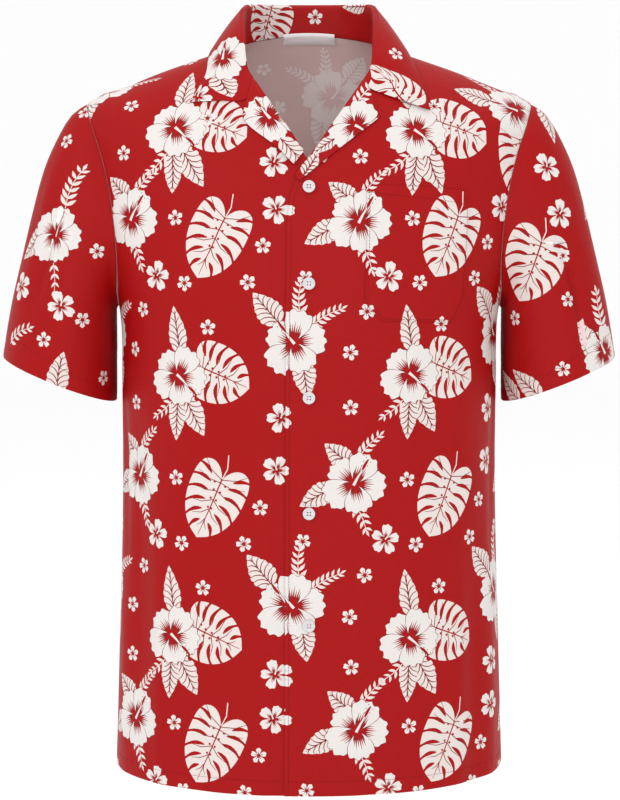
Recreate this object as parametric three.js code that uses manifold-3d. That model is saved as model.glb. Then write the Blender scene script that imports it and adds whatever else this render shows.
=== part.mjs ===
// Short-sleeved camp-collar shirt in worn form, with no wearer in it.
// Millimetres. The origin is midway between the two high shoulder points, where the neck seam
// meets the shoulder seams. The front faces -Y, +X is the wearer's left and +Z is up.

import * as THREE from 'three';
import Module from 'manifold-3d';

const wasm = await Module();
wasm.setup();

const WALL = 1.2;             // thickness of a cloth wall
const SEAM_GAP = 0.3;         // left open between two pieces at a seam
const LAID_GAP = 0.5;         // between a panel and a piece that lies on it
const UNDERLAP = 1.9;         // how far the right front steps in below the left one
const LAID_MID = LAID_GAP + WALL / 2;

const HEM_Z = -727;
const HEM_SIDE_Z = -720;     // the hem rises a little at the side seams
const ARMPIT_H = 469;
const SHOULDER_H = 669;
const NECK_H = 836;
const ARMHOLE_ANGLE = 27;     // how far the armhole cuts forward and back of the side line
const ARMHOLE_TURN = 18;      // step round the armhole, shared by the panels and the sleeves

// Rings of the body form from the hem to the neck seam. h is the length along the side.
// halfWidth is the width at the side, chest the width towards the middle. square is the
// exponent of the ring: 2 is an ellipse and more is squarer.
const RING_COLUMNS = ['h', 'halfWidth', 'chest', 'front', 'back', 'zSide', 'zFront', 'zBack', 'square'];
const RINGS = [
  [0, 196, 196, 135, 132, HEM_SIDE_Z, HEM_Z, HEM_Z, 2.4],
  [127, 192, 192, 133, 131, -600, -600, -600, 2.4],
  [277, 187.5, 187.5, 129, 127, -450, -450, -450, 2.4],
  [407, 187, 187, 130, 126, -320, -320, -320, 2.4],
  [469, 189, 188, 129, 124, -258, -262, -259, 2.38],
  [519, 204, 194, 126, 123, -208, -222, -214, 2.32],
  [569, 220, 201, 122, 121, -158, -186, -168, 2.25],
  [619, 225, 204, 117, 117, -108, -157, -122, 2.15],
  [655, 226.5, 202, 113, 111.5, -69, -138, -88, 2.08],
  [669, 227.5, 199, 111, 109, -52.5, -131, -75, 2.05],
  [686, 207, 188, 109.5, 106, -50.5, -125, -64, 2.03],
  [747, 150, 147, 105, 90, -28, -111, -28, 2.1],
  [836, 68, 68, 92, 60, 0, -80, 10, 2.4],
].map((row) => Object.fromEntries(row.map((value, i) => [RING_COLUMNS[i], value])));

const EASE_SHARE = 0.27;      // share of each of the two points that a place is eased with
const EASE_REACH = 20;        // how far above and below it they lie
const EASE_FROM = 400;
const EASE_TO = 775;

// Front edge of a front panel seen from the front, as its reach past the centre line.
// Above the V point the edge is the roll line of the lapel.
const FRONT_EDGE = [
  { z: -727, reach: 24 },
  { z: -258, reach: 22 },
  { z: -170, reach: 21 },
  { z: -146, reach: 18.5 },
  { z: -134, reach: 14.5 },
  { z: -121, reach: 9.5 },
  { z: -110, reach: 0 },
  { z: -33, reach: -55 },
];
const V_POINT = { x: 0, z: -110 };
const EDGE_BEND = { x: -9.5, z: -121 };
const ROLL_TOP = { x: 55, z: -33 };

// The largest folds of the body: soft troughs (depth below zero) and ridges.
const BODY_FOLDS = [
  { angle: 54, low: -60, high: 260, width: 6, depth: -3.5, lean: 3 },
  { angle: 63, low: -80, high: 300, width: 7, depth: 3.0, lean: 4 },
  { angle: 41, low: 250, high: 450, width: 6, depth: -2.2, lean: -5 },
  { angle: -57, low: 20, high: 400, width: 7, depth: -4.0, lean: -3 },
  { angle: -67, low: -60, high: 330, width: 7, depth: 2.8, lean: -4 },
  { angle: -34, low: -90, high: 150, width: 8, depth: -2.0, lean: 2 },
  { angle: 112, low: -80, high: 330, width: 8, depth: -4.5, lean: 4 },
  { angle: 141, low: 40, high: 400, width: 9, depth: -3.6, lean: 5 },
  { angle: -118, low: -60, high: 290, width: 8, depth: -4.2, lean: -3 },
  { angle: -150, low: -90, high: 350, width: 9, depth: -3.8, lean: -5 },
  { angle: 172, low: 100, high: 430, width: 8, depth: 2.4, lean: -4 },
];

// Sleeve sections from the armhole to the hem: the line over the arm, the line below it and
// the reach forward and back.
const SLEEVE_SECTIONS = [
  { v: 0, xOver: 221.5, zOver: -57.5, xUnder: 189, zUnder: -258, forward: 57, back: 57 },
  { v: 0.06, xOver: 235.5, zOver: -67.5, xUnder: 192, zUnder: -262, forward: 59, back: 59 },
  { v: 0.14, xOver: 248, zOver: -87, xUnder: 192.4, zUnder: -270, forward: 61, back: 60 },
  { v: 0.28, xOver: 263, zOver: -120, xUnder: 192.5, zUnder: -283, forward: 64, back: 61 },
  { v: 0.45, xOver: 275, zOver: -162, xUnder: 192.6, zUnder: -300, forward: 66, back: 61 },
  { v: 0.62, xOver: 286, zOver: -207, xUnder: 193, zUnder: -316, forward: 67, back: 60 },
  { v: 0.8, xOver: 297.5, zOver: -255, xUnder: 193, zUnder: -334, forward: 67, back: 58 },
  { v: 1, xOver: 307, zOver: -308.5, xUnder: 193.3, zUnder: -353.5, forward: 66, back: 56 },
];
const SLEEVE_ROUNDNESS = 2.1;

// The largest creases of a sleeve. turn is the angle round it: 0 over the arm, 90 in front.
const SLEEVE_FOLDS = {
  left: [
    { turn: 62, from: 0.12, to: 1.05, width: 13, depth: -3.6, lean: -8 },
    { turn: 30, from: 0.3, to: 1.1, width: 14, depth: 2.2, lean: 6 },
    { turn: 255, from: 0.1, to: 0.95, width: 16, depth: -4.0, lean: 8 },
  ],
  right: [
    { turn: 55, from: 0.1, to: 0.85, width: 12, depth: -4.2, lean: -6 },
    { turn: 95, from: 0.35, to: 1.1, width: 15, depth: 2.0, lean: 5 },
    { turn: 285, from: 0.15, to: 1.0, width: 16, depth: -3.6, lean: -7 },
  ],
};

// Collar stations round the neck seam, from the end of the roll line to the centre back:
// the top of the fold, how upright the fold stands and its radius.
const COLLAR_STATIONS = [
  { angle: 54, x: 59.5, y: -57, z: -23, upright: 0.25, radius: 1.1 },
  { angle: 60, x: 62, y: -52, z: -10, upright: 0.6, radius: 1.5 },
  { angle: 68, x: 64, y: -39, z: 8, upright: 1, radius: 2.2 },
  { angle: 78, x: 65.5, y: -21, z: 23, upright: 1, radius: 2.8 },
  { angle: 90, x: 65.5, y: 1, z: 34, upright: 1, radius: 3 },
  { angle: 104, x: 64, y: 19, z: 39.5, upright: 1, radius: 3 },
  { angle: 122, x: 55, y: 41, z: 41, upright: 1, radius: 3 },
  { angle: 150, x: 30, y: 61, z: 41, upright: 1, radius: 3 },
  { angle: 180, x: 0, y: 66, z: 41, upright: 1, radius: 3 },
];
const COLLAR_START = 54;
const COLLAR_STEPS = 19;      // sections from there to the centre back
const ROLL_RADIUS = 0.85;
const STAND_START = { front: 0.95, back: 0.5 };  // keeps the stand clear of the panel's corner
const LEAF_BULGE = 1.2;
const LEAF_LIFT = 1.3;        // how far the outer edge stands off the cloth below it
const COLLAR_SIDE_H = 803;    // where the fall ends over the shoulder seam
const COLLAR_BACK_H = 768;    // and at the centre back

// Collar leaf of each side seen from the front: its notch, its tip and its outer edge.
const LEAF = {
  left: { notch: { x: 58.2, z: -42.6 }, tip: { x: 117, z: -65 }, outer: { x: 109.5, z: -38 }, lift: 2.5 },
  right: { notch: { x: 60.8, z: -53 }, tip: { x: 115.5, z: -56 }, outer: { x: 101, z: -31 }, lift: 0.6 },
};

// Lapels seen from the front: where the outer edge is for a place along the roll line.
const LAPEL = {
  left: {
    end: { x: -12, z: -127.5 },
    edge: [{ x: 67.5, z: -70.5 }, { x: 51, z: -83 }, { x: 27.7, z: -100.5 }, { x: 8, z: -116 },
      { x: -8, z: -129.5 }],
  },
  right: {
    end: { x: 5.5, z: -102.3 },
    edge: [{ x: 64.3, z: -69.5 }, { x: 56, z: -80 }, { x: 31.6, z: -97 }, { x: 14.5, z: -114.5 }],
  },
};
const LAPEL_STEP = 16;        // longest row spacing of a lapel
const LAPEL_LIFT = 0.7;

// Patch pocket on the wearer's left chest, seen from the front.
const POCKET_CORNERS = {
  top: { left: { x: 54.5, z: -133 }, right: { x: 153, z: -141 } },
  low: { left: { x: 53.5, z: -250 }, right: { x: 149, z: -245.5 } },
  bottom: { left: { x: 71, z: -263 }, right: { x: 139, z: -266 } },
};
const POCKET_ROWS = 9;
const POCKET_COLUMNS = 8;

const LABEL_WIDTH = 53;
const LABEL_ABOVE_SEAM = 3.5;
const LABEL_BELOW_SEAM = 9;
const LABEL_THICKNESS = 1;

const BUTTON_HEIGHTS = [-135.5, -227, -336.5, -449, -558.5];
const BUTTON = { radius: 6, thickness: 2.4, rim: 1.2, dish: 0.7, holeRadius: 0.8, holeSpread: 1.6 };
const BUTTON_SIDES = 24;
const HOLE_SIDES = 8;

const CLOTH_RED = 0xb21b20;
const BUTTON_WHITE = 0xe9e4e0;
const LABEL_WHITE = 0xe6e1dd;

const radians = (degrees) => (degrees * Math.PI) / 180;
const degrees = (value) => (value * 180) / Math.PI;
const mix = (a, b, t) => a + (b - a) * t;

function smooth(t) {
  const s = Math.min(1, Math.max(0, t));
  return s * s * (3 - 2 * s);
}

// A smooth curve through a column of a table, by the slopes between its neighbours.
function along(table, key, column, at) {
  const last = table.length - 2;
  let i = 0;
  while (i < last && at > table[i + 1][key]) i += 1;
  const slope = (j) => {
    const a = table[Math.max(0, j - 1)];
    const b = table[Math.min(table.length - 1, j + 1)];
    return (b[column] - a[column]) / (b[key] - a[key]);
  };
  const span = table[i + 1][key] - table[i][key];
  const t = (at - table[i][key]) / span;
  const t2 = t * t;
  const t3 = t2 * t;
  const rise = (2 * t3 - 3 * t2 + 1) * table[i][column] + (3 * t2 - 2 * t3) * table[i + 1][column];
  return rise + span * ((t3 - 2 * t2 + t) * slope(i) + (t3 - t2) * slope(i + 1));
}

// Straight steps between the rows of a table.
function between(table, key, column, at) {
  let i = 0;
  while (i < table.length - 2 && at > table[i + 1][key]) i += 1;
  const t = (at - table[i][key]) / (table[i + 1][key] - table[i][key]);
  return mix(table[i][column], table[i + 1][column], Math.min(1, Math.max(0, t)));
}

const ringColumn = (column, h) => along(RINGS, 'h', column, h);

// Half width of a ring for a place round it, which changes from chest to side.
function widthAt(angle, h) {
  const side = Math.abs(Math.sin(radians(angle))) ** 6;
  return mix(ringColumn('chest', h), ringColumn('halfWidth', h), side);
}

// Point by the rings alone. angle 0 is the centre front, 90 the wearer's left side.
function ringPoint(angle, h) {
  const sin = Math.sin(radians(angle));
  const cos = Math.cos(radians(angle));
  const inFront = cos > 0;
  const square = ringColumn('square', h);
  const reach = Math.pow(Math.abs(sin) ** square + Math.abs(cos) ** square, -1 / square);
  const depth = ringColumn(inFront ? 'front' : 'back', h);
  const zSide = ringColumn('zSide', h);
  const zEnd = ringColumn(inFront ? 'zFront' : 'zBack', h);
  return new THREE.Vector3(
    widthAt(angle, h) * reach * sin,
    -depth * reach * cos,
    zSide + (zEnd - zSide) * cos * cos,
  );
}

// Point of the bare body form: the rings, eased where the shoulders and armpits turn.
function formPoint(angle, h) {
  const ease = EASE_SHARE * smooth((h - EASE_FROM) / 50) * smooth((EASE_TO - h) / 50);
  const point = ringPoint(angle, h);
  if (ease === 0) return point;
  const around = ringPoint(angle, h - EASE_REACH).add(ringPoint(angle, h + EASE_REACH));
  return point.multiplyScalar(1 - 2 * ease).addScaledVector(around, ease);
}

function formNormal(angle, h) {
  const low = Math.max(0, h - 2);
  const high = Math.min(NECK_H, h + 2);
  const round = formPoint(angle + 1, h).sub(formPoint(angle - 1, h));
  const up = formPoint(angle, high).sub(formPoint(angle, low));
  return round.cross(up).normalize();
}

function bodyFold(angle, h) {
  const signed = ((((angle + 180) % 360) + 360) % 360) - 180;
  let sum = 0;
  for (const fold of BODY_FOLDS) {
    const t = (h - fold.low) / (fold.high - fold.low);
    if (t <= 0 || t >= 1) continue;
    const centre = fold.angle + fold.lean * (t - 0.5);
    const across = (signed - centre) / fold.width;
    sum += fold.depth * Math.sin(Math.PI * t) * Math.exp(-across * across);
  }
  return sum;
}

// Point of the cloth: the body form with its folds, moved out along its normal.
function bodyPoint(angle, h, out) {
  const lift = bodyFold(angle, h) + out;
  return formPoint(angle, h).addScaledVector(formNormal(angle, h), lift);
}

// Angle on a ring of the front at a distance x from the centre line.
function angleAt(x, h) {
  const square = ringColumn('square', h);
  let angle = 0;
  for (let step = 0; step < 12; step += 1) {
    const s = Math.min(1, Math.abs(x) / widthAt(angle, h));
    angle = degrees(Math.atan2(s, Math.pow(1 - s ** square, 1 / square)));
  }
  return Math.sign(x) * angle;
}

// Angle and height on the front that are seen at x, z from the front.
function onFront(x, z) {
  let low = 0;
  let high = NECK_H;
  for (let step = 0; step < 40; step += 1) {
    const h = (low + high) / 2;
    const beyond = Math.abs(x) >= ringColumn('halfWidth', h) && h > SHOULDER_H;
    if (beyond || formPoint(angleAt(x, h), h).z > z) high = h;
    else low = h;
  }
  return { angle: angleAt(x, low), h: low };
}

function onFrontPoint(x, z, out) {
  const place = onFront(x, z);
  return bodyPoint(place.angle, place.h, out);
}

// Angle of the front edge of the wearer's left front on the ring at h.
function frontEdgeAngle(h) {
  let angle = 0;
  for (let step = 0; step < 8; step += 1) {
    const z = formPoint(angle, h).z;
    angle = angleAt(-between(FRONT_EDGE, 'z', 'reach', z), h);
  }
  return angle;
}

const seamAngle = (h) => degrees((SEAM_GAP / 2) / ringColumn('front', h));

// How far the armhole, side seam or shoulder seam lies from the side line at h.
function sideCut(h) {
  const gap = seamAngle(h);
  if (h <= ARMPIT_H || h >= SHOULDER_H) return gap;
  const t = (h - ARMPIT_H) / (SHOULDER_H - ARMPIT_H);
  return gap + ARMHOLE_ANGLE * 2 * Math.sqrt(t * (1 - t));
}

// A closed solid from two skins of one grid of points, joined along the rims.
function solidFromSkins(outer, inner, wrap) {
  const rows = outer.length;
  const columns = outer[0].length;
  const points = [...outer.flat(), ...inner.flat()];
  const skin = rows * columns;
  const at = (side, row, column) => side * skin + row * columns + (column % columns);
  const faces = [];
  const quad = (a, b, c, d) => faces.push([a, b, c], [a, c, d]);
  const spans = wrap ? columns : columns - 1;
  for (let row = 0; row < rows - 1; row += 1) {
    for (let column = 0; column < spans; column += 1) {
      for (const side of [0, 1]) {
        const corner = [at(side, row, column), at(side, row, column + 1),
          at(side, row + 1, column + 1), at(side, row + 1, column)];
        if (side === 0) quad(corner[0], corner[1], corner[2], corner[3]);
        else quad(corner[3], corner[2], corner[1], corner[0]);
      }
    }
  }
  for (let column = 0; column < spans; column += 1) {
    const top = rows - 1;
    quad(at(1, 0, column), at(1, 0, column + 1), at(0, 0, column + 1), at(0, 0, column));
    quad(at(0, top, column), at(0, top, column + 1), at(1, top, column + 1), at(1, top, column));
  }
  if (!wrap) {
    const end = columns - 1;
    for (let row = 0; row < rows - 1; row += 1) {
      quad(at(0, row, 0), at(0, row + 1, 0), at(1, row + 1, 0), at(1, row, 0));
      quad(at(1, row, end), at(1, row + 1, end), at(0, row + 1, end), at(0, row, end));
    }
  }
  return facingOut(points, faces);
}

function facingOut(points, faces) {
  let volume = 0;
  for (const [a, b, c] of faces) {
    volume += points[a].dot(points[b].clone().cross(points[c]));
  }
  const turned = volume < 0 ? faces.map(([a, b, c]) => [a, c, b]) : faces;
  const geometry = new THREE.BufferGeometry();
  const positions = points.flatMap((point) => [point.x, point.y, point.z]);
  geometry.setAttribute('position', new THREE.Float32BufferAttribute(positions, 3));
  geometry.setIndex(turned.flat());
  geometry.computeVertexNormals();
  return geometry;
}

// Normals of a grid of points, by its neighbours along and across.
function gridNormals(grid, wrap) {
  return grid.map((line, row) => line.map((point, column) => {
    const last = line.length - 1;
    const before = wrap ? (column + last) % line.length : Math.max(0, column - 1);
    const after = wrap ? (column + 1) % line.length : Math.min(last, column + 1);
    const across = line[after].clone().sub(line[before]);
    const below = grid[Math.max(0, row - 1)][column];
    const above = grid[Math.min(grid.length - 1, row + 1)][column];
    return across.cross(above.clone().sub(below)).normalize();
  }));
}

// A wall of even thickness on both sides of a grid of points.
function solidFromMiddle(grid, thickness) {
  const normals = gridNormals(grid, false);
  const moved = (side) => grid.map((line, row) => line.map((point, column) => (
    point.clone().addScaledVector(normals[row][column], (side * thickness) / 2)
  )));
  return solidFromSkins(moved(1), moved(-1), false);
}

// Heights of the rows of a body panel, closer together where the armhole curves.
function panelHeights() {
  const low = [0, 45, 95, 145, 195, 245, 295, 345, 390, 432];
  const armhole = [];
  for (let turn = 0; turn <= 180; turn += ARMHOLE_TURN) {
    armhole.push(mix(ARMPIT_H, SHOULDER_H, (1 - Math.cos(radians(turn))) / 2));
  }
  return [...low, ...armhole];
}

// Rows of a front panel as pairs of places: at its front edge and at its outer edge.
function frontRows() {
  const vHeight = onFront(V_POINT.x, V_POINT.z).h;
  const bendHeight = onFront(EDGE_BEND.x, EDGE_BEND.z).h;
  const lower = [...panelHeights(), 689, bendHeight, mix(bendHeight, vHeight, 0.5), vHeight];
  const rows = lower.map((h) => ({
    inner: { angle: frontEdgeAngle(h), h },
    outer: { angle: 90 - sideCut(h), h },
  }));
  const steps = 6;
  for (let step = 1; step <= steps; step += 1) {
    const t = step / steps;
    const h = mix(vHeight, NECK_H, t);
    const x = mix(V_POINT.x, ROLL_TOP.x, t);
    const z = mix(V_POINT.z, ROLL_TOP.z, t);
    const inner = step < steps ? onFront(x, z) : { angle: angleAt(ROLL_TOP.x, NECK_H), h: NECK_H };
    rows.push({ inner, outer: { angle: 90 - seamAngle(h), h } });
  }
  return rows;
}

// The wearer's right front steps in at the middle, where the left one lies over it.
function stepIn(side, angle) {
  return side > 0 ? 0 : -UNDERLAP * smooth((14 - angle) / 5.5);
}

const FRONT_COLUMNS = 14;

// side is 1 for the wearer's left front and -1 for the right one.
function frontPanel(side) {
  const skin = (out) => frontRows().map(({ inner, outer }) => {
    const line = [];
    for (let column = 0; column <= FRONT_COLUMNS; column += 1) {
      const t = column / FRONT_COLUMNS;
      const angle = mix(inner.angle, outer.angle, t);
      const h = mix(inner.h, outer.h, t);
      line.push(bodyPoint(side * angle, h, out + stepIn(side, angle)));
    }
    return line;
  });
  return solidFromSkins(skin(0), skin(-WALL), false);
}

const BACK_COLUMNS = 26;

function backPanel() {
  const heights = [...panelHeights(), 690, 718, 747, 777, 807, NECK_H];
  const skin = (out) => heights.map((h) => {
    const line = [];
    const start = 90 + sideCut(h);
    for (let column = 0; column <= BACK_COLUMNS; column += 1) {
      line.push(bodyPoint(mix(start, 360 - start, column / BACK_COLUMNS), h, out));
    }
    return line;
  });
  return solidFromSkins(skin(0), skin(-WALL), false);
}

// Point of the armhole edge of the wearer's left side. turn 0 is the shoulder, 90 the front.
function armholePoint(turn) {
  const t = (1 + Math.cos(radians(turn))) / 2;
  const h = mix(ARMPIT_H, SHOULDER_H, t);
  const forward = turn <= 180 ? -1 : 1;
  const point = bodyPoint(90 + forward * sideCut(h), h, 0);
  point.x += SEAM_GAP + 0.05;
  return point;
}

function sleeveSection(v, turn) {
  const column = (name) => along(SLEEVE_SECTIONS, 'v', name, v);
  const cos = Math.cos(radians(turn));
  const sin = Math.sin(radians(turn));
  const total = Math.abs(cos) ** SLEEVE_ROUNDNESS + Math.abs(sin) ** SLEEVE_ROUNDNESS;
  const reach = Math.pow(total, -1 / SLEEVE_ROUNDNESS);
  const over = mix(column('xUnder'), column('xOver'), (1 + reach * cos) / 2);
  const height = mix(column('zUnder'), column('zOver'), (1 + reach * cos) / 2);
  const depth = sin > 0 ? column('forward') : column('back');
  return new THREE.Vector3(over, -depth * reach * sin, height);
}

function sleeveFold(folds, v, turn) {
  let sum = 0;
  for (const fold of folds) {
    const t = (v - fold.from) / (fold.to - fold.from);
    if (t <= 0 || t >= 1) continue;
    const centre = fold.turn + fold.lean * (t - 0.5);
    const across = (turn - centre) / fold.width;
    sum += fold.depth * Math.sin(Math.PI * t) * Math.exp(-across * across);
  }
  return sum;
}

const SLEEVE_ROWS = [0, 0.035, 0.08, 0.15, 0.26, 0.4, 0.56, 0.72, 0.87, 1];

function sleeve(side, folds) {
  const base = SLEEVE_ROWS.map((v) => {
    const line = [];
    for (let turn = 0; turn < 360; turn += ARMHOLE_TURN) {
      const start = armholePoint(turn).sub(sleeveSection(0, turn));
      const fade = (1 - v) ** 4;
      const point = sleeveSection(v, turn).addScaledVector(start, fade);
      line.push(point);
    }
    return line;
  });
  const normals = gridNormals(base, true);
  const middle = sleeveSection(0.5, 0).add(sleeveSection(0.5, 180)).multiplyScalar(0.5);
  const sign = Math.sign(normals[6][0].dot(base[6][0].clone().sub(middle)));
  const skin = (out) => base.map((line, row) => line.map((point, column) => {
    const lift = sleeveFold(folds, SLEEVE_ROWS[row], column * ARMHOLE_TURN) + out;
    const moved = point.clone().addScaledVector(normals[row][column], sign * lift);
    moved.x *= side;
    return moved;
  }));
  return solidFromSkins(skin(0), skin(-WALL), true);
}

// Frame on the cloth at a place of the roll line: out of the cloth and into the opening.
function rollFrame(side, { x, z }, heading) {
  const place = onFront(x, z);
  const out = formNormal(place.angle, place.h);
  const start = bodyPoint(place.angle, place.h, stepIn(side, place.angle));
  const down = new THREE.Vector3(heading.x, 0, heading.z);
  down.addScaledVector(out, -down.dot(out));
  return { start, out, away: down.cross(out).normalize() };
}

// Points of a tight fold that starts at a cut edge and turns back over the cloth.
function foldOver({ start, out, away }) {
  const edge = start.clone().addScaledVector(out, -WALL / 2);
  const reach = (along_, up) => edge.clone().addScaledVector(away, along_).addScaledVector(out, up);
  const centre = { along: 0.8, up: ROLL_RADIUS };
  const points = [reach(SEAM_GAP + 0.1, 0)];
  for (const turn of [0, 45, 90, 135, 180]) {
    const angle = radians(turn);
    const forward = centre.along + ROLL_RADIUS * Math.sin(angle);
    points.push(reach(forward, centre.up - ROLL_RADIUS * Math.cos(angle)));
  }
  return points;
}

// Place along a run of straight pieces, by its share of the way.
function alongEdge(points, t) {
  const lengths = [0];
  for (let i = 1; i < points.length; i += 1) {
    const step = Math.hypot(points[i].x - points[i - 1].x, points[i].z - points[i - 1].z);
    lengths.push(lengths[i - 1] + step);
  }
  const target = t * lengths[lengths.length - 1];
  const table = points.map((point, i) => ({ at: lengths[i], x: point.x, z: point.z }));
  return { x: between(table, 'at', 'x', target), z: between(table, 'at', 'z', target) };
}

// Places of the rows of a lapel along its roll line, with the way that the line runs there.
function rollRows(corners) {
  const rows = [];
  for (let i = 1; i < corners.length; i += 1) {
    const from = corners[i - 1];
    const to = corners[i];
    const length = Math.hypot(to.x - from.x, to.z - from.z);
    const heading = { x: (to.x - from.x) / length, z: (to.z - from.z) / length };
    const steps = Math.ceil(length / LAPEL_STEP);
    const first = i === 1 ? 0 : 1;
    for (let step = first; step <= steps; step += 1) {
      const t = step / steps;
      rows.push({ x: mix(from.x, to.x, t), z: mix(from.z, to.z, t), heading });
    }
  }
  rows[0].x += rows[0].heading.x * 0.5;
  rows[0].z += rows[0].heading.z * 0.5;
  return rows;
}

function lapel(side, shape) {
  const corners = shape.end.x > 0 ? [ROLL_TOP, shape.end] : [ROLL_TOP, V_POINT, EDGE_BEND, shape.end];
  const rows = rollRows(corners);
  let length = 0;
  const grid = rows.map((from, row) => {
    if (row > 0) length += Math.hypot(from.x - rows[row - 1].x, from.z - rows[row - 1].z);
    return { from, length };
  }).map(({ from, length: run }) => {
    const to = alongEdge(shape.edge, run / length);
    const line = foldOver(rollFrame(side, from, from.heading));
    for (const across of [0.12, 0.4, 0.7, 1]) {
      const place = onFront(mix(from.x, to.x, across), mix(from.z, to.z, across));
      const inset = stepIn(side, place.angle) * (1 - across) ** 2;
      line.push(bodyPoint(place.angle, place.h, LAID_MID + LAPEL_LIFT + inset));
    }
    return line.map((point) => new THREE.Vector3(point.x * side, point.y, point.z));
  });
  return solidFromMiddle(grid, WALL);
}

// Outer edge of the collar for a station round the neck, on the cloth below it.
function leafEdge(angle, leaf) {
  if (angle >= 90) {
    const t = (angle - 90) / 90;
    return bodyPoint(angle, mix(COLLAR_SIDE_H, COLLAR_BACK_H, smooth(t)), LAID_MID + LEAF_LIFT);
  }
  const table = [
    { angle: 50, x: leaf.tip.x, z: leaf.tip.z },
    { angle: 68, x: leaf.outer.x, z: leaf.outer.z },
    { angle: 90, x: ringColumn('halfWidth', COLLAR_SIDE_H), z: ringColumn('zSide', COLLAR_SIDE_H) },
  ];
  const place = { x: along(table, 'angle', 'x', angle), z: along(table, 'angle', 'z', angle) };
  const lift = mix(LEAF_LIFT, leaf.lift, smooth((90 - angle) / 40));
  return onFrontPoint(place.x, place.z - 0.5, LAID_MID + lift);
}

// One section of the collar: up the stand, over the fold and down the leaf to its edge.
function collarLine(angle, leaf) {
  const column = (name) => along(COLLAR_STATIONS, 'angle', name, angle);
  const radius = column('radius');
  const base = bodyPoint(angle, NECK_H, -WALL / 2);
  const away = formPoint(angle, NECK_H).sub(formPoint(angle, NECK_H - 4)).normalize();
  const up = new THREE.Vector3(0, 0, 1).lerp(away, 1 - Math.min(1, column('upright'))).normalize();
  const round = formPoint(angle + 2, NECK_H).sub(formPoint(angle - 2, NECK_H));
  const out = round.cross(up).normalize();
  const top = new THREE.Vector3(column('x'), column('y'), column('z'));
  const centre = top.clone().addScaledVector(up, -radius);
  const rise = top.clone().sub(base).normalize();
  const clear = mix(STAND_START.front, STAND_START.back, smooth((angle - COLLAR_START) / 30));
  const line = [base.clone().addScaledVector(rise, SEAM_GAP + clear)];
  const inside = centre.clone().addScaledVector(out, -radius);
  line.push(line[0].clone().lerp(inside, 0.5));
  for (const turn of [0, 60, 120, 180]) {
    const a = radians(turn);
    const point = centre.clone().addScaledVector(out, -radius * Math.cos(a));
    line.push(point.addScaledVector(up, radius * Math.sin(a)));
  }
  const start = line[line.length - 1];
  const edge = leafEdge(angle, leaf);
  const bulge = out.clone().lerp(new THREE.Vector3(0, 0, 1), 0.5).normalize();
  for (const t of [0.3, 0.65]) {
    const point = start.clone().lerp(edge, t);
    line.push(point.addScaledVector(bulge, LEAF_BULGE * 4 * t * (1 - t)));
  }
  line.push(edge);
  return line;
}

// The end of the collar: folded over at the roll line, then along the notch to the tip.
function collarEnd(leaf) {
  const [{ heading }] = rollRows([ROLL_TOP, V_POINT]);
  const frame = rollFrame(1, ROLL_TOP, heading);
  const [first, ...turned] = foldOver(frame);
  const notch = onFrontPoint(leaf.notch.x, leaf.notch.z + 0.6, LAID_MID);
  const tip = onFrontPoint(leaf.tip.x, leaf.tip.z, LAID_MID + leaf.lift);
  const half = onFrontPoint(mix(leaf.notch.x, leaf.tip.x, 0.5), mix(leaf.notch.z, leaf.tip.z, 0.5),
    LAID_MID + leaf.lift / 2);
  const inside = first.clone().lerp(turned[0], 0.5);
  return [first, inside, turned[0], turned[1], turned[3], turned[4], notch, half, tip];
}

function collar() {
  const angles = [];
  for (let step = 0; step <= COLLAR_STEPS; step += 1) {
    angles.push(mix(COLLAR_START, 180, step / COLLAR_STEPS));
  }
  const half = (leaf) => [collarEnd(leaf), ...angles.map((angle) => collarLine(angle, leaf))];
  const left = half(LEAF.left);
  const right = half(LEAF.right).map((line) => line.map((point) => {
    point.x = -point.x;
    return point;
  }));
  return solidFromMiddle([...right, ...left.slice(0, -1).reverse()], WALL);
}

function pocket() {
  const { top, low, bottom } = POCKET_CORNERS;
  const pairs = [];
  for (let row = 0; row <= POCKET_ROWS; row += 1) {
    const t = row / POCKET_ROWS;
    const corner = (name) => ({ x: mix(top[name].x, low[name].x, t), z: mix(top[name].z, low[name].z, t) });
    pairs.push({ left: corner('left'), right: corner('right') });
  }
  pairs.push(bottom);
  const grid = pairs.map(({ left, right }) => {
    const line = [];
    for (let column = 0; column <= POCKET_COLUMNS; column += 1) {
      const t = column / POCKET_COLUMNS;
      line.push(onFrontPoint(mix(left.x, right.x, t), mix(left.z, right.z, t), LAID_MID));
    }
    return line;
  });
  return solidFromMiddle(grid, WALL);
}

// The neck label lies over the seam: its top on the collar stand, the rest on the back.
function label() {
  const grid = [];
  const columns = 6;
  const stand = WALL / 2 + LAID_GAP + LABEL_THICKNESS / 2;
  const perHeight = formPoint(180, NECK_H).distanceTo(formPoint(180, NECK_H - 4)) / 4;
  for (const below of [-LABEL_ABOVE_SEAM, 0, LABEL_BELOW_SEAM / 2, LABEL_BELOW_SEAM]) {
    const line = [];
    for (let column = 0; column <= columns; column += 1) {
      const x = mix(LABEL_WIDTH / 2, -LABEL_WIDTH / 2, column / columns);
      const h = NECK_H - Math.max(0, below) / perHeight;
      const angle = 180 - angleAt(x, h);
      const inward = formNormal(angle, h).negate();
      if (below <= 0) inward.z = 0;
      inward.normalize();
      const point = bodyPoint(angle, h, -WALL / 2);
      point.addScaledVector(inward, below > 0 ? stand : stand + 0.5);
      point.z += Math.max(0, -below);
      line.push(point);
    }
    grid.push(line);
  }
  return solidFromMiddle(grid, LABEL_THICKNESS);
}

function toManifold(geometry) {
  const positions = geometry.getAttribute('position').array;
  const mesh = new wasm.Mesh({
    numProp: 3,
    vertProperties: new Float32Array(positions),
    triVerts: new Uint32Array(geometry.getIndex().array),
  });
  return new wasm.Manifold(mesh);
}

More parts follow.
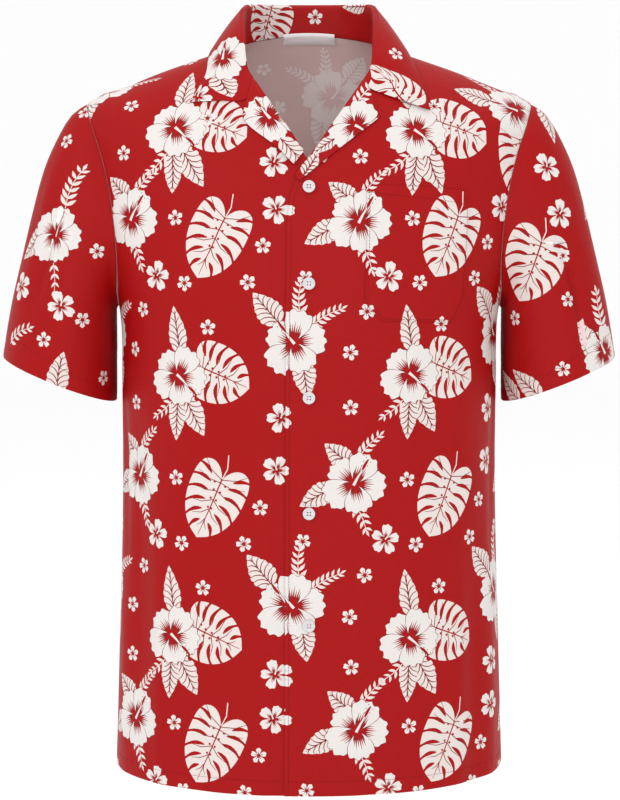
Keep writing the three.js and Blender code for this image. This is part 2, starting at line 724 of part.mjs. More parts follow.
function fromManifold(solid) {
  const mesh = solid.getMesh();
  const geometry = new THREE.BufferGeometry();
  geometry.setAttribute('position', new THREE.Float32BufferAttribute(mesh.vertProperties, 3));
  geometry.setIndex(Array.from(mesh.triVerts));
  geometry.computeVertexNormals();
  return geometry;
}

// A solid of turned form round Z from pairs of radius and height, closed at both ends.
function turnedSolid(profile, sides) {
  const points = [];
  const faces = [];
  for (const { radius, height } of profile) {
    for (let side = 0; side < sides; side += 1) {
      const angle = (2 * Math.PI * side) / sides;
      points.push(new THREE.Vector3(radius * Math.cos(angle), radius * Math.sin(angle), height));
    }
  }
  const last = profile.length - 1;
  for (let ring = 0; ring < last; ring += 1) {
    for (let side = 0; side < sides; side += 1) {
      const next = (side + 1) % sides;
      const a = ring * sides + side;
      const b = ring * sides + next;
      faces.push([a, b, b + sides], [a, b + sides, a + sides]);
    }
  }
  const low = points.length;
  points.push(new THREE.Vector3(0, 0, profile[0].height));
  points.push(new THREE.Vector3(0, 0, profile[last].height));
  for (let side = 0; side < sides; side += 1) {
    const next = (side + 1) % sides;
    faces.push([low, next, side], [low + 1, last * sides + side, last * sides + next]);
  }
  return facingOut(points, faces);
}

function buttonForm() {
  const { radius, thickness, rim, dish, holeRadius, holeSpread } = BUTTON;
  const body = toManifold(turnedSolid([
    { radius: radius - 0.8, height: 0 },
    { radius, height: thickness * 0.5 },
    { radius: radius - 0.4, height: thickness },
    { radius: radius - rim, height: thickness },
    { radius: radius - rim - 0.8, height: thickness - dish },
  ], BUTTON_SIDES));
  const hole = turnedSolid([
    { radius: holeRadius, height: -1 },
    { radius: holeRadius, height: thickness + 1 },
  ], HOLE_SIDES);
  let drilled = body;
  for (const [x, y] of [[1, 1], [-1, 1], [-1, -1], [1, -1]]) {
    const tool = hole.clone().translate(x * holeSpread * 0.8, y * holeSpread * 0.8, 0);
    drilled = drilled.subtract(toManifold(tool));
  }
  return fromManifold(drilled);
}

// A button on the centre line of the left front, flat on the cloth.
function placedButton(form, z) {
  const place = onFront(0, z);
  const out = formNormal(place.angle, place.h);
  const across = new THREE.Vector3(1, 0, 0);
  const up = out.clone().cross(across).normalize();
  const stand = bodyPoint(place.angle, place.h, LAID_GAP);
  const frame = new THREE.Matrix4().makeBasis(across, up, out).setPosition(stand);
  return form.clone().applyMatrix4(frame);
}

const group = new THREE.Group();
group.name = 'hawaiian_shirt';

function add(name, geometry, color, roughness) {
  const material = new THREE.MeshStandardMaterial({ color, roughness, metalness: 0 });
  const mesh = new THREE.Mesh(geometry, material);
  mesh.name = name;
  group.add(mesh);
}

add('front_left', frontPanel(1), CLOTH_RED, 0.75);
add('front_right', frontPanel(-1), CLOTH_RED, 0.75);
add('back', backPanel(), CLOTH_RED, 0.75);
add('sleeve_left', sleeve(1, SLEEVE_FOLDS.left), CLOTH_RED, 0.75);
add('sleeve_right', sleeve(-1, SLEEVE_FOLDS.right), CLOTH_RED, 0.75);
add('collar', collar(), CLOTH_RED, 0.75);
add('lapel_left', lapel(1, LAPEL.left), CLOTH_RED, 0.75);
add('lapel_right', lapel(-1, LAPEL.right), CLOTH_RED, 0.75);
add('pocket', pocket(), CLOTH_RED, 0.75);
add('label', label(), LABEL_WHITE, 0.8);

const button = buttonForm();
BUTTON_HEIGHTS.forEach((z, i) => add(`button_${i + 1}`, placedButton(button, z), BUTTON_WHITE, 0.35));

export default group;
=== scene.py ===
import math
import random

import bmesh
import bpy
import numpy as np
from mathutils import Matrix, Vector, kdtree
from mathutils.geometry import delaunay_2d_cdt


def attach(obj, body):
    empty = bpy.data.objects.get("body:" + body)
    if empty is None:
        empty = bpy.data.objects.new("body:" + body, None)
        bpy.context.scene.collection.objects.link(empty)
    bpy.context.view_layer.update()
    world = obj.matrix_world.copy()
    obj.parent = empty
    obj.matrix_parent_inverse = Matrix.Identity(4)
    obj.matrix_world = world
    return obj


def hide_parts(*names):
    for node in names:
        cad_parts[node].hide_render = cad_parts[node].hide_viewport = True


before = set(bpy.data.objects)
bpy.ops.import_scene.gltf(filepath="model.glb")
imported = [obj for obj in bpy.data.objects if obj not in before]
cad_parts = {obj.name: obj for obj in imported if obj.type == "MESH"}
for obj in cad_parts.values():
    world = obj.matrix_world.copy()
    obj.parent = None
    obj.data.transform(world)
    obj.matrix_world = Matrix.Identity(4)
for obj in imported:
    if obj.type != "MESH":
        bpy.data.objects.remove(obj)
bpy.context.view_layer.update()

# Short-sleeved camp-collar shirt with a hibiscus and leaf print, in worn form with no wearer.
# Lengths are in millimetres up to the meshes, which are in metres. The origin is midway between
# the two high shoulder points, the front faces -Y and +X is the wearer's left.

MM = 0.001

CLOTH_SKIN = 0.5            # thickness of a shell of cloth
SEWN_SKIN = 0.8             # and of the collar, the lapels and the pocket
SEAM_GAP = 0.3              # between two pieces that are sewn together
LAID_MID = 1.1              # middle of a piece that lies on a panel
UNDERLAP = 1.9              # how far the right front steps in under the left one
NECK_H = 836                # chart heights of the neck seam, the armpit and the shoulder point
ARMPIT_H = 469
SHOULDER_H = 669
ARMHOLE_ANGLE = 27          # how far the armhole cuts in from the side line, in degrees
EASE_SHARE = 0.27           # how much the form is rounded between two heights of the chart
EASE_REACH = 20
EASE_FROM = 400
EASE_TO = 775
BODY_STEP = 2.9             # chart millimetres for one degree round the body
SLEEVE_STEP = 1.06          # and round a sleeve
SLEEVE_LENGTH = 245
GRID = 9.0                  # spacing of the points between the motifs
EDGE_STEP = 4.0             # spacing of the points along an edge
EDGE_TURN = 0.45            # how far the cloth turns in at an edge or a seam
EDGE_ROUND = 1.6            # and how near the edge it starts to
MERGED = 0.001              # points this near become one
BACK_MERGED = 0.00001       # and on the reverse, which takes over the points of the edge
BACK_LINES_FROM = 690       # chart height above which motifs on the reverse of the back have lines too
HEM_ROW = 2.2               # spacing of the rows of points along a hem
RIM_ROWS = (0.8, 2.0, 3.6)  # distances of the rows of points inside an edge

RING_COLUMNS = ["h", "half_width", "chest", "front", "back", "z_side", "z_front", "z_back", "square"]
RINGS = [
    [0, 196, 196, 135, 132, -720, -727, -727, 2.4],
    [127, 192, 192, 133, 131, -600, -600, -600, 2.4],
    [277, 187.5, 187.5, 129, 127, -450, -450, -450, 2.4],
    [407, 187, 187, 130, 126, -320, -320, -320, 2.4],
    [469, 189, 188, 129, 124, -258, -262, -259, 2.38],
    [519, 204, 194, 126, 123, -208, -222, -214, 2.32],
    [569, 220, 201, 122, 121, -158, -186, -168, 2.25],
    [619, 225, 204, 117, 117, -108, -157, -122, 2.15],
    [655, 226.5, 202, 113, 111.5, -69, -138, -88, 2.08],
    [669, 227.5, 199, 111, 109, -52.5, -131, -75, 2.05],
    [686, 207, 188, 109.5, 106, -50.5, -125, -64, 2.03],
    [747, 150, 147, 105, 90, -28, -111, -28, 2.1],
    [836, 68, 68, 92, 60, 0, -80, 10, 2.4],
]

# Front edge of a front seen from the front, as its reach past the centre line.
FRONT_EDGE_Z = [-727, -258, -170, -146, -134, -121, -110, -33]
FRONT_EDGE_REACH = [24, 22, 21, 18.5, 14.5, 9.5, 0, -55]
V_POINT = (0, -110)
EDGE_BEND = (-9.5, -121)
ROLL_TOP = (55, -33)

# Soft troughs (depth below zero) and ridges of the body. A row is the angle of the middle, the
# low and high end, the width in degrees, the depth and how far it leans from end to end.
BODY_FOLDS = [
    [54, -60, 260, 6, -3.5, 3],
    [63, -80, 300, 7, 3.0, 4],
    [41, 250, 450, 6, -2.2, -5],
    [-57, 20, 400, 7, -4.0, -3],
    [-67, -60, 330, 7, 2.8, -4],
    [-34, -90, 150, 8, -2.0, 2],
    [112, -80, 330, 8, -4.5, 4],
    [141, 40, 400, 9, -3.6, 5],
    [-118, -60, 290, 8, -4.2, -3],
    [-150, -90, 350, 9, -3.8, -5],
    [172, 100, 430, 8, 2.4, -4],
]
# Smaller creases, which the solids leave out.
BODY_CREASES = [
    [71, 180, 440, 3.5, -2.3, 9],
    [76, 330, 520, 3, 1.5, -8],
    [-70, 150, 420, 3.5, -2.4, -8],
    [-77, 300, 500, 3, 1.0, 6],
    [30, 560, 700, 5, -1.2, 10],
    [-28, 540, 690, 5, -1.1, -9],
    [47, -40, 230, 3.4, 2.0, 4],
    [-46, -50, 250, 3.4, 2.1, -4],
    [19, -60, 150, 3.4, -1.8, 3],
    [-20, -40, 170, 3.4, -1.9, -3],
    [100, 250, 470, 4, -2.3, -7],
    [-104, 220, 460, 4, -2.4, 8],
    [128, 380, 560, 5, -1.3, -9],
    [-131, 360, 590, 5, -1.4, 7],
    [158, -40, 230, 4, -2.2, 4],
    [-166, 30, 280, 4, 2.1, -5],
    [150, 560, 700, 6, -1.2, 6],
    [-147, 560, 710, 6, -1.3, -6],
]

SLEEVE_COLUMNS = ["v", "x_over", "z_over", "x_under", "z_under", "forward", "back"]
SLEEVE_SECTIONS = [
    [0, 221.5, -57.5, 189, -258, 57, 57],
    [0.06, 235.5, -67.5, 192, -262, 59, 59],
    [0.14, 248, -87, 192.4, -270, 61, 60],
    [0.28, 263, -120, 192.5, -283, 64, 61],
    [0.45, 275, -162, 192.6, -300, 66, 61],
    [0.62, 286, -207, 193, -316, 67, 60],
    [0.8, 297.5, -255, 193, -334, 67, 58],
    [1, 307, -308.5, 193.3, -353.5, 66, 56],
]
SLEEVE_ROUNDNESS = 2.1
# Folds of the sleeves, in the same order. Their ends are shares of the way down the sleeve.
SLEEVE_FOLDS = {
    "left": [
        [62, 0.12, 1.05, 13, -3.6, -8],
        [30, 0.3, 1.1, 14, 2.2, 6],
        [255, 0.1, 0.95, 16, -4.0, 8],
        [95, 0.2, 0.8, 7, -1.2, 9],
        [42, 0.05, 0.5, 6, -1.0, -7],
        [64, 0.12, 1.05, 3.4, -2.4, -8],
        [300, 0.3, 1.1, 8, -1.3, 6],
    ],
    "right": [
        [55, 0.1, 0.85, 12, -4.2, -6],
        [95, 0.35, 1.1, 15, 2.0, 5],
        [285, 0.15, 1.0, 16, -3.6, -7],
        [28, 0.15, 0.7, 6, -1.1, 8],
        [57, 0.15, 0.8, 3.6, -2.6, -6],
        [74, 0.5, 1.1, 6, -1.0, -5],
        [245, 0.3, 1.1, 8, 1.2, 6],
    ],
}

STATION_COLUMNS = ["angle", "x", "y", "z", "upright", "radius"]
COLLAR_STATIONS = [
    [54, 59.5, -57, -23, 0.25, 1.1],
    [60, 62, -52, -10, 0.6, 1.5],
    [68, 64, -39, 8, 1, 2.2],
    [78, 65.5, -21, 23, 1, 2.8],
    [90, 65.5, 1, 34, 1, 3],
    [104, 64, 19, 39.5, 1, 3],
    [122, 55, 41, 41, 1, 3],
    [150, 30, 61, 41, 1, 3],
    [180, 0, 66, 41, 1, 3],
]
COLLAR_START = 54           # angle at which the collar starts
COLLAR_STEPS = 19
ROLL_RADIUS = 0.85          # of the fold at the roll line
LEAF_LIFT = 1.3             # of the leaf's edge over the panel
LEAF_BULGE = 1.2
COLLAR_SIDE_H = 803
COLLAR_BACK_H = 768
COLLAR_LEAF = {
    "left": {"notch": (58.2, -42.6), "tip": (117, -65), "outer": (109.5, -38), "lift": 2.5},
    "right": {"notch": (60.8, -53), "tip": (115.5, -56), "outer": (101, -31), "lift": 0.6},
}
LAPEL_EDGE = {
    "left": [(67.5, -70.5), (51, -83), (27.7, -100.5), (8, -116), (-8, -129.5)],
    "right": [(64.3, -69.5), (56, -80), (31.6, -97), (14.5, -114.5)],
}
LAPEL_END = {"left": (-12, -127.5), "right": (5.5, -102.3)}
LAPEL_STEP = 16
LAPEL_LIFT = 0.7

POCKET = [(54.5, -133), (153, -141), (149, -245.5), (139, -266), (71, -263), (53.5, -250)]
POCKET_HEM = 13.5
LABEL_WIDTH = 53
LABEL_ABOVE_SEAM = 3.5
LABEL_BELOW_SEAM = 9
BUTTON_HEIGHTS = [-135.5, -227, -336.5, -449, -558.5]
BODY_HEM = 14.5             # height of the stitching over the edge
SLEEVE_HEM = 25.0

CAMERA_PLACE = (0.001, -2.7, -0.034)
CAMERA_PITCH = 6.76
CAMERA_LENS = 121.5


def smooth(t):
    s = np.clip(t, 0.0, 1.0)
    return s * s * (3 - 2 * s)


def mix(a, b, t):
    return a + (b - a) * t


def unit(vectors):
    length = np.linalg.norm(vectors, axis=-1, keepdims=True)
    return vectors / np.maximum(length, 1e-9)


def basis(keys, at):
    """Weights of the rows of a table for a smooth curve through them, straight beyond the ends."""
    keys = np.asarray(keys, float)
    at = np.atleast_1d(np.asarray(at, float))
    count = len(keys)
    slopes = np.zeros((count, count))
    for j in range(count):
        before, after = max(0, j - 1), min(count - 1, j + 1)
        slopes[j, after] += 1 / (keys[after] - keys[before])
        slopes[j, before] -= 1 / (keys[after] - keys[before])
    held = np.clip(at, keys[0], keys[-1])
    i = np.searchsorted(keys[1:-1], held, side="left")
    span = keys[i + 1] - keys[i]
    t = (held - keys[i]) / span
    t2, t3 = t * t, t * t * t
    rows = np.arange(len(at))
    weights = np.zeros((len(at), count))
    weights[rows, i] += 2 * t3 - 3 * t2 + 1
    weights[rows, i + 1] += 3 * t2 - 2 * t3
    weights += (span * (t3 - 2 * t2 + t))[:, None] * slopes[i]
    weights += (span * (t3 - t2))[:, None] * slopes[i + 1]
    weights += np.minimum(at - keys[0], 0)[:, None] * slopes[0]
    weights += np.maximum(at - keys[-1], 0)[:, None] * slopes[-1]
    return weights


def read_table(names, rows, at):
    """Columns of a table at places along its first column."""
    table = np.array(rows, float)
    values = basis(table[:, 0], at) @ table
    return {name: values[:, i] for i, name in enumerate(names)}


def ring_point(angle, h):
    """Points by the rings alone. angle 0 is the centre front, 90 the wearer's left side."""
    ring = read_table(RING_COLUMNS, RINGS, h)
    sin, cos = np.sin(np.radians(angle)), np.cos(np.radians(angle))
    square = ring["square"]
    reach = (np.abs(sin) ** square + np.abs(cos) ** square) ** (-1 / square)
    width = mix(ring["chest"], ring["half_width"], np.abs(sin) ** 6)
    depth = np.where(cos > 0, ring["front"], ring["back"])
    z_end = np.where(cos > 0, ring["z_front"], ring["z_back"])
    z = ring["z_side"] + (z_end - ring["z_side"]) * cos * cos
    return np.stack([width * reach * sin, -depth * reach * cos, z], axis=-1)


def form_point(angle, h):
    """The rings, eased where the shoulders and armpits turn."""
    ease = EASE_SHARE * smooth((h - EASE_FROM) / 50) * smooth((EASE_TO - h) / 50)
    around = ring_point(angle, h - EASE_REACH) + ring_point(angle, h + EASE_REACH)
    return ring_point(angle, h) * (1 - 2 * ease)[:, None] + around * ease[:, None]


def fold_sum(folds, across, along, turn_round):
    """Height of all the folds at a place: across is the angle, along the way up or down."""
    total = np.zeros(np.shape(across))
    for centre, low, high, width, depth, lean in folds:
        t = (along - low) / (high - low)
        line = centre + lean * (t - 0.5)
        away = (across - line + 180) % 360 - 180 if turn_round else across - line
        inside = (t > 0) & (t < 1) & (np.abs(away) < 4 * width)
        rise = depth * np.sin(np.pi * np.clip(t, 0, 1)) * np.exp(-(away / width) ** 2)
        total += np.where(inside, rise, 0)
    return total


class Cloth:
    """A piece of cloth as a surface over a flat chart, a across and b up, in millimetres.
    Its bare form is looked up in a fine table, and its folds are added where it is asked for."""

    level = False

    def tabulate(self, a_range, b_range, a_step, b_step):
        a = np.arange(a_range[0], a_range[1] + a_step, a_step)
        b = np.arange(b_range[0], b_range[1] + b_step, b_step)
        grid_a, grid_b = np.meshgrid(a, b, indexing="ij")
        points = self.bare(grid_a.ravel(), grid_b.ravel()).reshape(len(a), len(b), 3)
        across = np.gradient(points, a_step, axis=0)
        up = np.gradient(points, b_step, axis=1)
        normal = unit(np.cross(across, up))
        self.table = np.concatenate([points, normal, across, up], axis=-1)
        self.start = (a[0], b[0])
        self.steps = (a_step, b_step)

    def look(self, a, b):
        """Point, normal and the two directions of the bare form."""
        rows, columns = self.table.shape[:2]
        i = np.clip((np.atleast_1d(a) - self.start[0]) / self.steps[0], 0, rows - 1.001)
        j = np.clip((np.atleast_1d(b) - self.start[1]) / self.steps[1], 0, columns - 1.001)
        i0, j0 = i.astype(int), j.astype(int)
        s, t = (i - i0)[:, None], (j - j0)[:, None]
        low = self.table[i0, j0] * (1 - s) + self.table[i0 + 1, j0] * s
        high = self.table[i0, j0 + 1] * (1 - s) + self.table[i0 + 1, j0 + 1] * s
        value = low * (1 - t) + high * t
        return value[:, :3], unit(value[:, 3:6]), value[:, 6:9], value[:, 9:]

    def lift(self, a, b):
        return np.zeros(np.shape(a))

    def point(self, a, b, out=0.0):
        point, normal, _, _ = self.look(a, b)
        return point + normal * np.reshape(self.lift(np.atleast_1d(a), np.atleast_1d(b)) + out, (-1, 1))

    def frame(self, a, b):
        """Points with their normals, and the two directions of the surface there."""
        point, normal, across, up = self.look(a, b)
        step = 0.4
        lift = self.lift(a, b)
        slope_a = (self.lift(a + step, b) - self.lift(a - step, b)) / (2 * step)
        slope_b = (self.lift(a, b + step) - self.lift(a, b - step)) / (2 * step)
        tilt = tangent(across, up, slope_a, slope_b)
        return point + normal * lift[:, None], unit(normal - tilt), across, up

    def walk(self, start, moves, steps=5):
        """Chart places that are reached from a place by moves in true millimetres."""
        a = np.full(len(moves), float(start[0]))
        b = np.full(len(moves), float(start[1]))
        for _ in range(steps):
            _, normal, across, up = self.look(a, b)
            right = unit(np.cross([0, 0, 1.0], normal)) if self.level else unit(across)
            above = np.cross(normal, right)
            want = (right * moves[:, :1] + above * moves[:, 1:]) / steps
            da, db = chart_move(across, up, (want * across).sum(1), (want * up).sum(1))
            a, b = a + da, b + db
        return np.stack([a, b], axis=-1)

    def seen(self, x, z):
        """Chart place whose cloth is seen at x, z from the front, and how its chart is turned there."""
        table = self.table.reshape(-1, 12)
        miss = np.hypot(table[:, 0] - x, table[:, 2] - z) + 0.02 * table[:, 1]
        miss = np.where(table[:, 4] < -0.05, miss, 1e6)
        best = int(np.argmin(miss))
        i, j = divmod(best, self.table.shape[1])
        across = table[best, 6:9]
        if self.level:
            across = np.cross([0, 0, 1.0], table[best, 3:6])
        turn = -math.degrees(math.atan2(across[2], across[0]))
        return (self.start[0] + i * self.steps[0], self.start[1] + j * self.steps[1]), turn

    def groove(self, a, b):
        return np.zeros(len(a))

    def extra(self, a, b):
        return np.zeros(len(a))


def chart_move(across, up, along_a, along_b):
    """Steps of the chart for a vector that is given by its products with both directions."""
    aa, ab, bb = (across * across).sum(1), (across * up).sum(1), (up * up).sum(1)
    det = np.maximum(aa * bb - ab * ab, 1e-9)
    return (along_a * bb - along_b * ab) / det, (along_b * aa - along_a * ab) / det


def tangent(across, up, slope_a, slope_b):
    """The slope of a height over the surface, as a vector in it."""
    da, db = chart_move(across, up, slope_a, slope_b)
    return across * da[:, None] + up * db[:, None]


class Body(Cloth):
    """The body form: a is the angle and b the length up the side."""

    level = True
    side = 1
    offset = 0.0

    def bare(self, a, b):
        return form_point(a / BODY_STEP, b)

    def lift(self, a, b):
        angle = a / BODY_STEP
        inset = 0.0 if self.side > 0 else step_in(-angle)
        folds = fold_sum(BODY_FOLDS, angle, b, True) + fold_sum(BODY_CREASES, angle, b, True)
        return folds + self.offset + inset + self.groove(a, b)


def step_in(angle):
    """The wearer's right front steps in at the middle, where the left one lies over it."""
    return -UNDERLAP * smooth((14 - angle) / 5.5)


BODY = Body()
BODY.tabulate((-150 * BODY_STEP, 320 * BODY_STEP), (-120, NECK_H + 60), BODY_STEP, 4.0)


def body_like(side=1, offset=0.0):
    """Another piece on the body form, which shares its table."""
    cloth = Body()
    cloth.table, cloth.start, cloth.steps = BODY.table, BODY.start, BODY.steps
    cloth.side, cloth.offset = side, offset
    return cloth


def body_point(angle, h, out):
    return BODY.point(np.atleast_1d(angle) * BODY_STEP, np.atleast_1d(h), out)


def form_normal(angle, h):
    return BODY.look(np.atleast_1d(angle) * BODY_STEP, np.atleast_1d(h))[1]


def angle_at(x, h):
    """Angle on the front of the ring at h, at a distance x from the centre line."""
    x, h = np.broadcast_arrays(np.atleast_1d(x).astype(float), np.atleast_1d(h).astype(float))
    a = x.copy()
    for _ in range(12):
        point, _, across, _ = BODY.look(a, h)
        a = a + (x - point[:, 0]) / np.maximum(across[:, 0], 0.1)
    return a / BODY_STEP


def on_front(x, z):
    """Angle and height on the front that are seen at x, z from the front."""
    x, z = np.broadcast_arrays(np.atleast_1d(x).astype(float), np.atleast_1d(z).astype(float))
    a = x * 1.02
    h = np.interp(z, [row[6] for row in RINGS], [row[0] for row in RINGS])
    for _ in range(25):
        point, _, across, up = BODY.look(a, h)
        miss_x, miss_z = x - point[:, 0], z - point[:, 2]
        det = across[:, 0] * up[:, 2] - up[:, 0] * across[:, 2]
        da = (miss_x * up[:, 2] - miss_z * up[:, 0]) / det
        dh = (miss_z * across[:, 0] - miss_x * across[:, 2]) / det
        a, h = a + np.clip(da, -20, 20) * 0.8, h + np.clip(dh, -20, 20) * 0.8
    return a / BODY_STEP, h


def seam_angle(h):
    return np.degrees(SEAM_GAP / 2 / read_table(RING_COLUMNS, RINGS, h)["front"])


def side_cut(h):
    """How far the armhole, side seam or shoulder seam lies from the side line at h."""
    t = np.clip((np.atleast_1d(h) - ARMPIT_H) / (SHOULDER_H - ARMPIT_H), 0, 1)
    return seam_angle(h) + ARMHOLE_ANGLE * 2 * np.sqrt(t * (1 - t))


def front_edge_angle(h):
    h = np.atleast_1d(h).astype(float)
    angle = np.zeros(h.shape)
    for _ in range(8):
        z = BODY.look(angle * BODY_STEP, h)[0][:, 2]
        angle = angle_at(-np.interp(z, FRONT_EDGE_Z, FRONT_EDGE_REACH), h)
    return angle


class Sleeve(Cloth):
    """A sleeve: a is the angle round it, 0 over the arm, and b the length up from its hem."""

    def __init__(self, side, folds):
        self.side = side
        self.folds = folds
        reach = 215 * SLEEVE_STEP
        self.tabulate((-reach, reach), (-60, SLEEVE_LENGTH + 30), SLEEVE_STEP, 2.5)

    def middle(self, turn, v):
        table = read_table(SLEEVE_COLUMNS, SLEEVE_SECTIONS, v)
        cos, sin = np.cos(np.radians(turn)), np.sin(np.radians(turn))
        total = np.abs(cos) ** SLEEVE_ROUNDNESS + np.abs(sin) ** SLEEVE_ROUNDNESS
        reach = total ** (-1 / SLEEVE_ROUNDNESS)
        share = (1 + reach * cos) / 2
        x = mix(table["x_under"], table["x_over"], share)
        z = mix(table["z_under"], table["z_over"], share)
        depth = np.where(sin > 0, table["forward"], table["back"])
        return np.stack([x, -depth * reach * sin, z], axis=-1)

    def bare(self, a, b):
        turn = (-self.side * a / SLEEVE_STEP) % 360
        v = 1 - b / SLEEVE_LENGTH
        h = mix(ARMPIT_H, SHOULDER_H, (1 + np.cos(np.radians(turn))) / 2)
        forward = np.where(turn <= 180, -1, 1)
        start = body_point(90 + forward * side_cut(h), h, 0)
        start[:, 0] += SEAM_GAP + 0.05
        fade = np.clip(1 - v, 0, 1) ** 4
        point = self.middle(turn, v) + (start - self.middle(turn, 0 * v)) * fade[:, None]
        return point * np.array([self.side, 1, 1])

    def lift(self, a, b):
        turn = (-self.side * a / SLEEVE_STEP) % 360
        return fold_sum(self.folds, turn, 1 - b / SLEEVE_LENGTH, True) + self.groove(a, b)


class Net(Cloth):
    """A smooth surface through rows of points: a runs along the rows and b across them."""

    def __init__(self, rows, a_step=1.0, b_step=0.4):
        self.points = np.array(rows, float)
        steps = np.linalg.norm(np.diff(self.points, axis=0), axis=2).mean(axis=1)
        spans = np.linalg.norm(np.diff(self.points, axis=1), axis=2).mean(axis=0)
        self.a_keys = np.concatenate([[0], np.cumsum(steps)])
        self.b_keys = np.concatenate([[0], np.cumsum(spans)])
        self.tabulate((-2, self.a_keys[-1] + 2), (-2, self.b_keys[-1] + 2), a_step, b_step)

    def bare(self, a, b):
        rows = np.einsum("nr,rck->nck", basis(self.a_keys, a), self.points)
        return np.einsum("nc,nck->nk", basis(self.b_keys, b), rows)


def point_on(x, z, out):
    """One point of the front seen at x, z from the front."""
    angle, h = on_front(x, z)
    return body_point(angle, h, out)[0]


def roll_frame(side, place, heading):
    """Start of the roll line at a place, the way out of the cloth and the way across the line."""
    angle, h = on_front(place[0], place[1])
    out = form_normal(angle, h)[0]
    start = body_point(angle, h, 0 if side > 0 else step_in(angle))[0]
    down = np.array([heading[0], 0, heading[1]])
    down = down - out * down.dot(out)
    return start, out, unit(np.cross(down, out))


def fold_over(start, out, away):
    """Points of a tight fold that starts at a cut edge and turns back over the cloth."""
    edge = start - out * 0.6
    points = [edge + away * (SEAM_GAP + 0.1)]
    for turn in (0, 45, 90, 135, 180):
        sin, cos = math.sin(math.radians(turn)), math.cos(math.radians(turn))
        points.append(edge + away * (0.8 + ROLL_RADIUS * sin) + out * (ROLL_RADIUS - ROLL_RADIUS * cos))
    return points


def along_edge(points, t):
    """Place along a run of straight pieces, by its share of the way."""
    line = np.array(points, float)
    lengths = np.concatenate([[0], np.cumsum(np.linalg.norm(np.diff(line, axis=0), axis=1))])
    return [np.interp(t * lengths[-1], lengths, line[:, i]) for i in (0, 1)]


def roll_rows(corners):
    """Places along the roll line with the heading of the line there."""
    rows = []
    for first, (start, end) in enumerate(zip(corners, corners[1:])):
        start, end = np.array(start, float), np.array(end, float)
        heading = unit(end - start)
        steps = math.ceil(np.linalg.norm(end - start) / LAPEL_STEP)
        for step in range(0 if first == 0 else 1, steps + 1):
            rows.append((mix(start, end, step / steps), heading))
    rows[0] = (rows[0][0] + rows[0][1] * 0.5, rows[0][1])
    return rows


def lapel_net(side, name):
    """A lapel: folded over at the roll line and laid on its front out to its edge."""
    end = LAPEL_END[name]
    corners = [ROLL_TOP, end] if end[0] > 0 else [ROLL_TOP, V_POINT, EDGE_BEND, end]
    rows = roll_rows(corners)
    places = np.array([place for place, _ in rows])
    runs = np.concatenate([[0], np.cumsum(np.linalg.norm(np.diff(places, axis=0), axis=1))])
    grid = []
    for (place, heading), run in zip(rows, runs):
        to = along_edge(LAPEL_EDGE[name], run / runs[-1])
        line = fold_over(*roll_frame(side, place, heading))
        for across in (0.12, 0.4, 0.7, 1):
            angle, h = on_front(mix(place[0], to[0], across), mix(place[1], to[1], across))
            inset = 0 if side > 0 else step_in(angle) * (1 - across) ** 2
            line.append(body_point(angle, h, LAID_MID + LAPEL_LIFT + inset)[0])
        grid.append([point * np.array([side, 1, 1]) for point in line])
    return Net(grid if side > 0 else grid[::-1])


def leaf_edge(angle, leaf):
    """Edge of the collar's leaf at an angle round the neck."""
    if angle >= 90:
        h = mix(COLLAR_SIDE_H, COLLAR_BACK_H, smooth((angle - 90) / 90))
        return body_point(angle, h, LAID_MID + LEAF_LIFT)[0]
    side = read_table(RING_COLUMNS, RINGS, COLLAR_SIDE_H)
    table = [[50, *leaf["tip"]], [68, *leaf["outer"]], [90, side["half_width"][0], side["z_side"][0]]]
    place = read_table(["angle", "x", "z"], table, angle)
    lift = mix(LEAF_LIFT, leaf["lift"], smooth((90 - angle) / 40))
    return point_on(place["x"][0], place["z"][0] - 0.5, LAID_MID + lift)


def collar_line(angle, leaf):
    """One section of the collar: up the stand, over the fold and down the leaf to its edge."""
    station = {name: value[0] for name, value in read_table(STATION_COLUMNS, COLLAR_STATIONS, angle).items()}
    radius = station["radius"]
    base = body_point(angle, NECK_H, -0.6)[0]
    a = angle * BODY_STEP
    away = unit(BODY.look(a, NECK_H)[0][0] - BODY.look(a, NECK_H - 4)[0][0])
    up = unit(mix(np.array([0, 0, 1.0]), away, 1 - min(1, station["upright"])))
    around = BODY.look(a + 2, NECK_H)[0][0] - BODY.look(a - 2, NECK_H)[0][0]
    out = unit(np.cross(around, up))
    top = np.array([station["x"], station["y"], station["z"]])
    centre = top - up * radius
    clear = mix(0.95, 0.5, smooth((angle - COLLAR_START) / 30))
    line = [base + unit(top - base) * (SEAM_GAP + clear)]
    inside = centre - out * radius
    line.append(mix(line[0], inside, 0.5))
    for turn in (0, 60, 120, 180):
        swing = math.radians(turn)
        line.append(centre - out * radius * math.cos(swing) + up * radius * math.sin(swing))
    start, edge = line[-1], leaf_edge(angle, leaf)
    bulge = unit(mix(out, np.array([0, 0, 1.0]), 0.5))
    for t in (0.3, 0.65):
        line.append(mix(start, edge, t) + bulge * LEAF_BULGE * 4 * t * (1 - t))
    return line + [edge]


def collar_end(leaf):
    """The end of the collar: folded over at the roll line, then along the notch to the tip."""
    _, heading = roll_rows([ROLL_TOP, V_POINT])[0]
    first, *turned = fold_over(*roll_frame(1, ROLL_TOP, heading))
    notch, tip = leaf["notch"], leaf["tip"]
    corner = point_on(notch[0], notch[1] + 0.6, LAID_MID)
    half = point_on((notch[0] + tip[0]) / 2, (notch[1] + tip[1]) / 2, LAID_MID + leaf["lift"] / 2)
    end = point_on(tip[0], tip[1], LAID_MID + leaf["lift"])
    return [first, mix(first, turned[0], 0.5), turned[0], turned[1], turned[3], turned[4], corner, half, end]


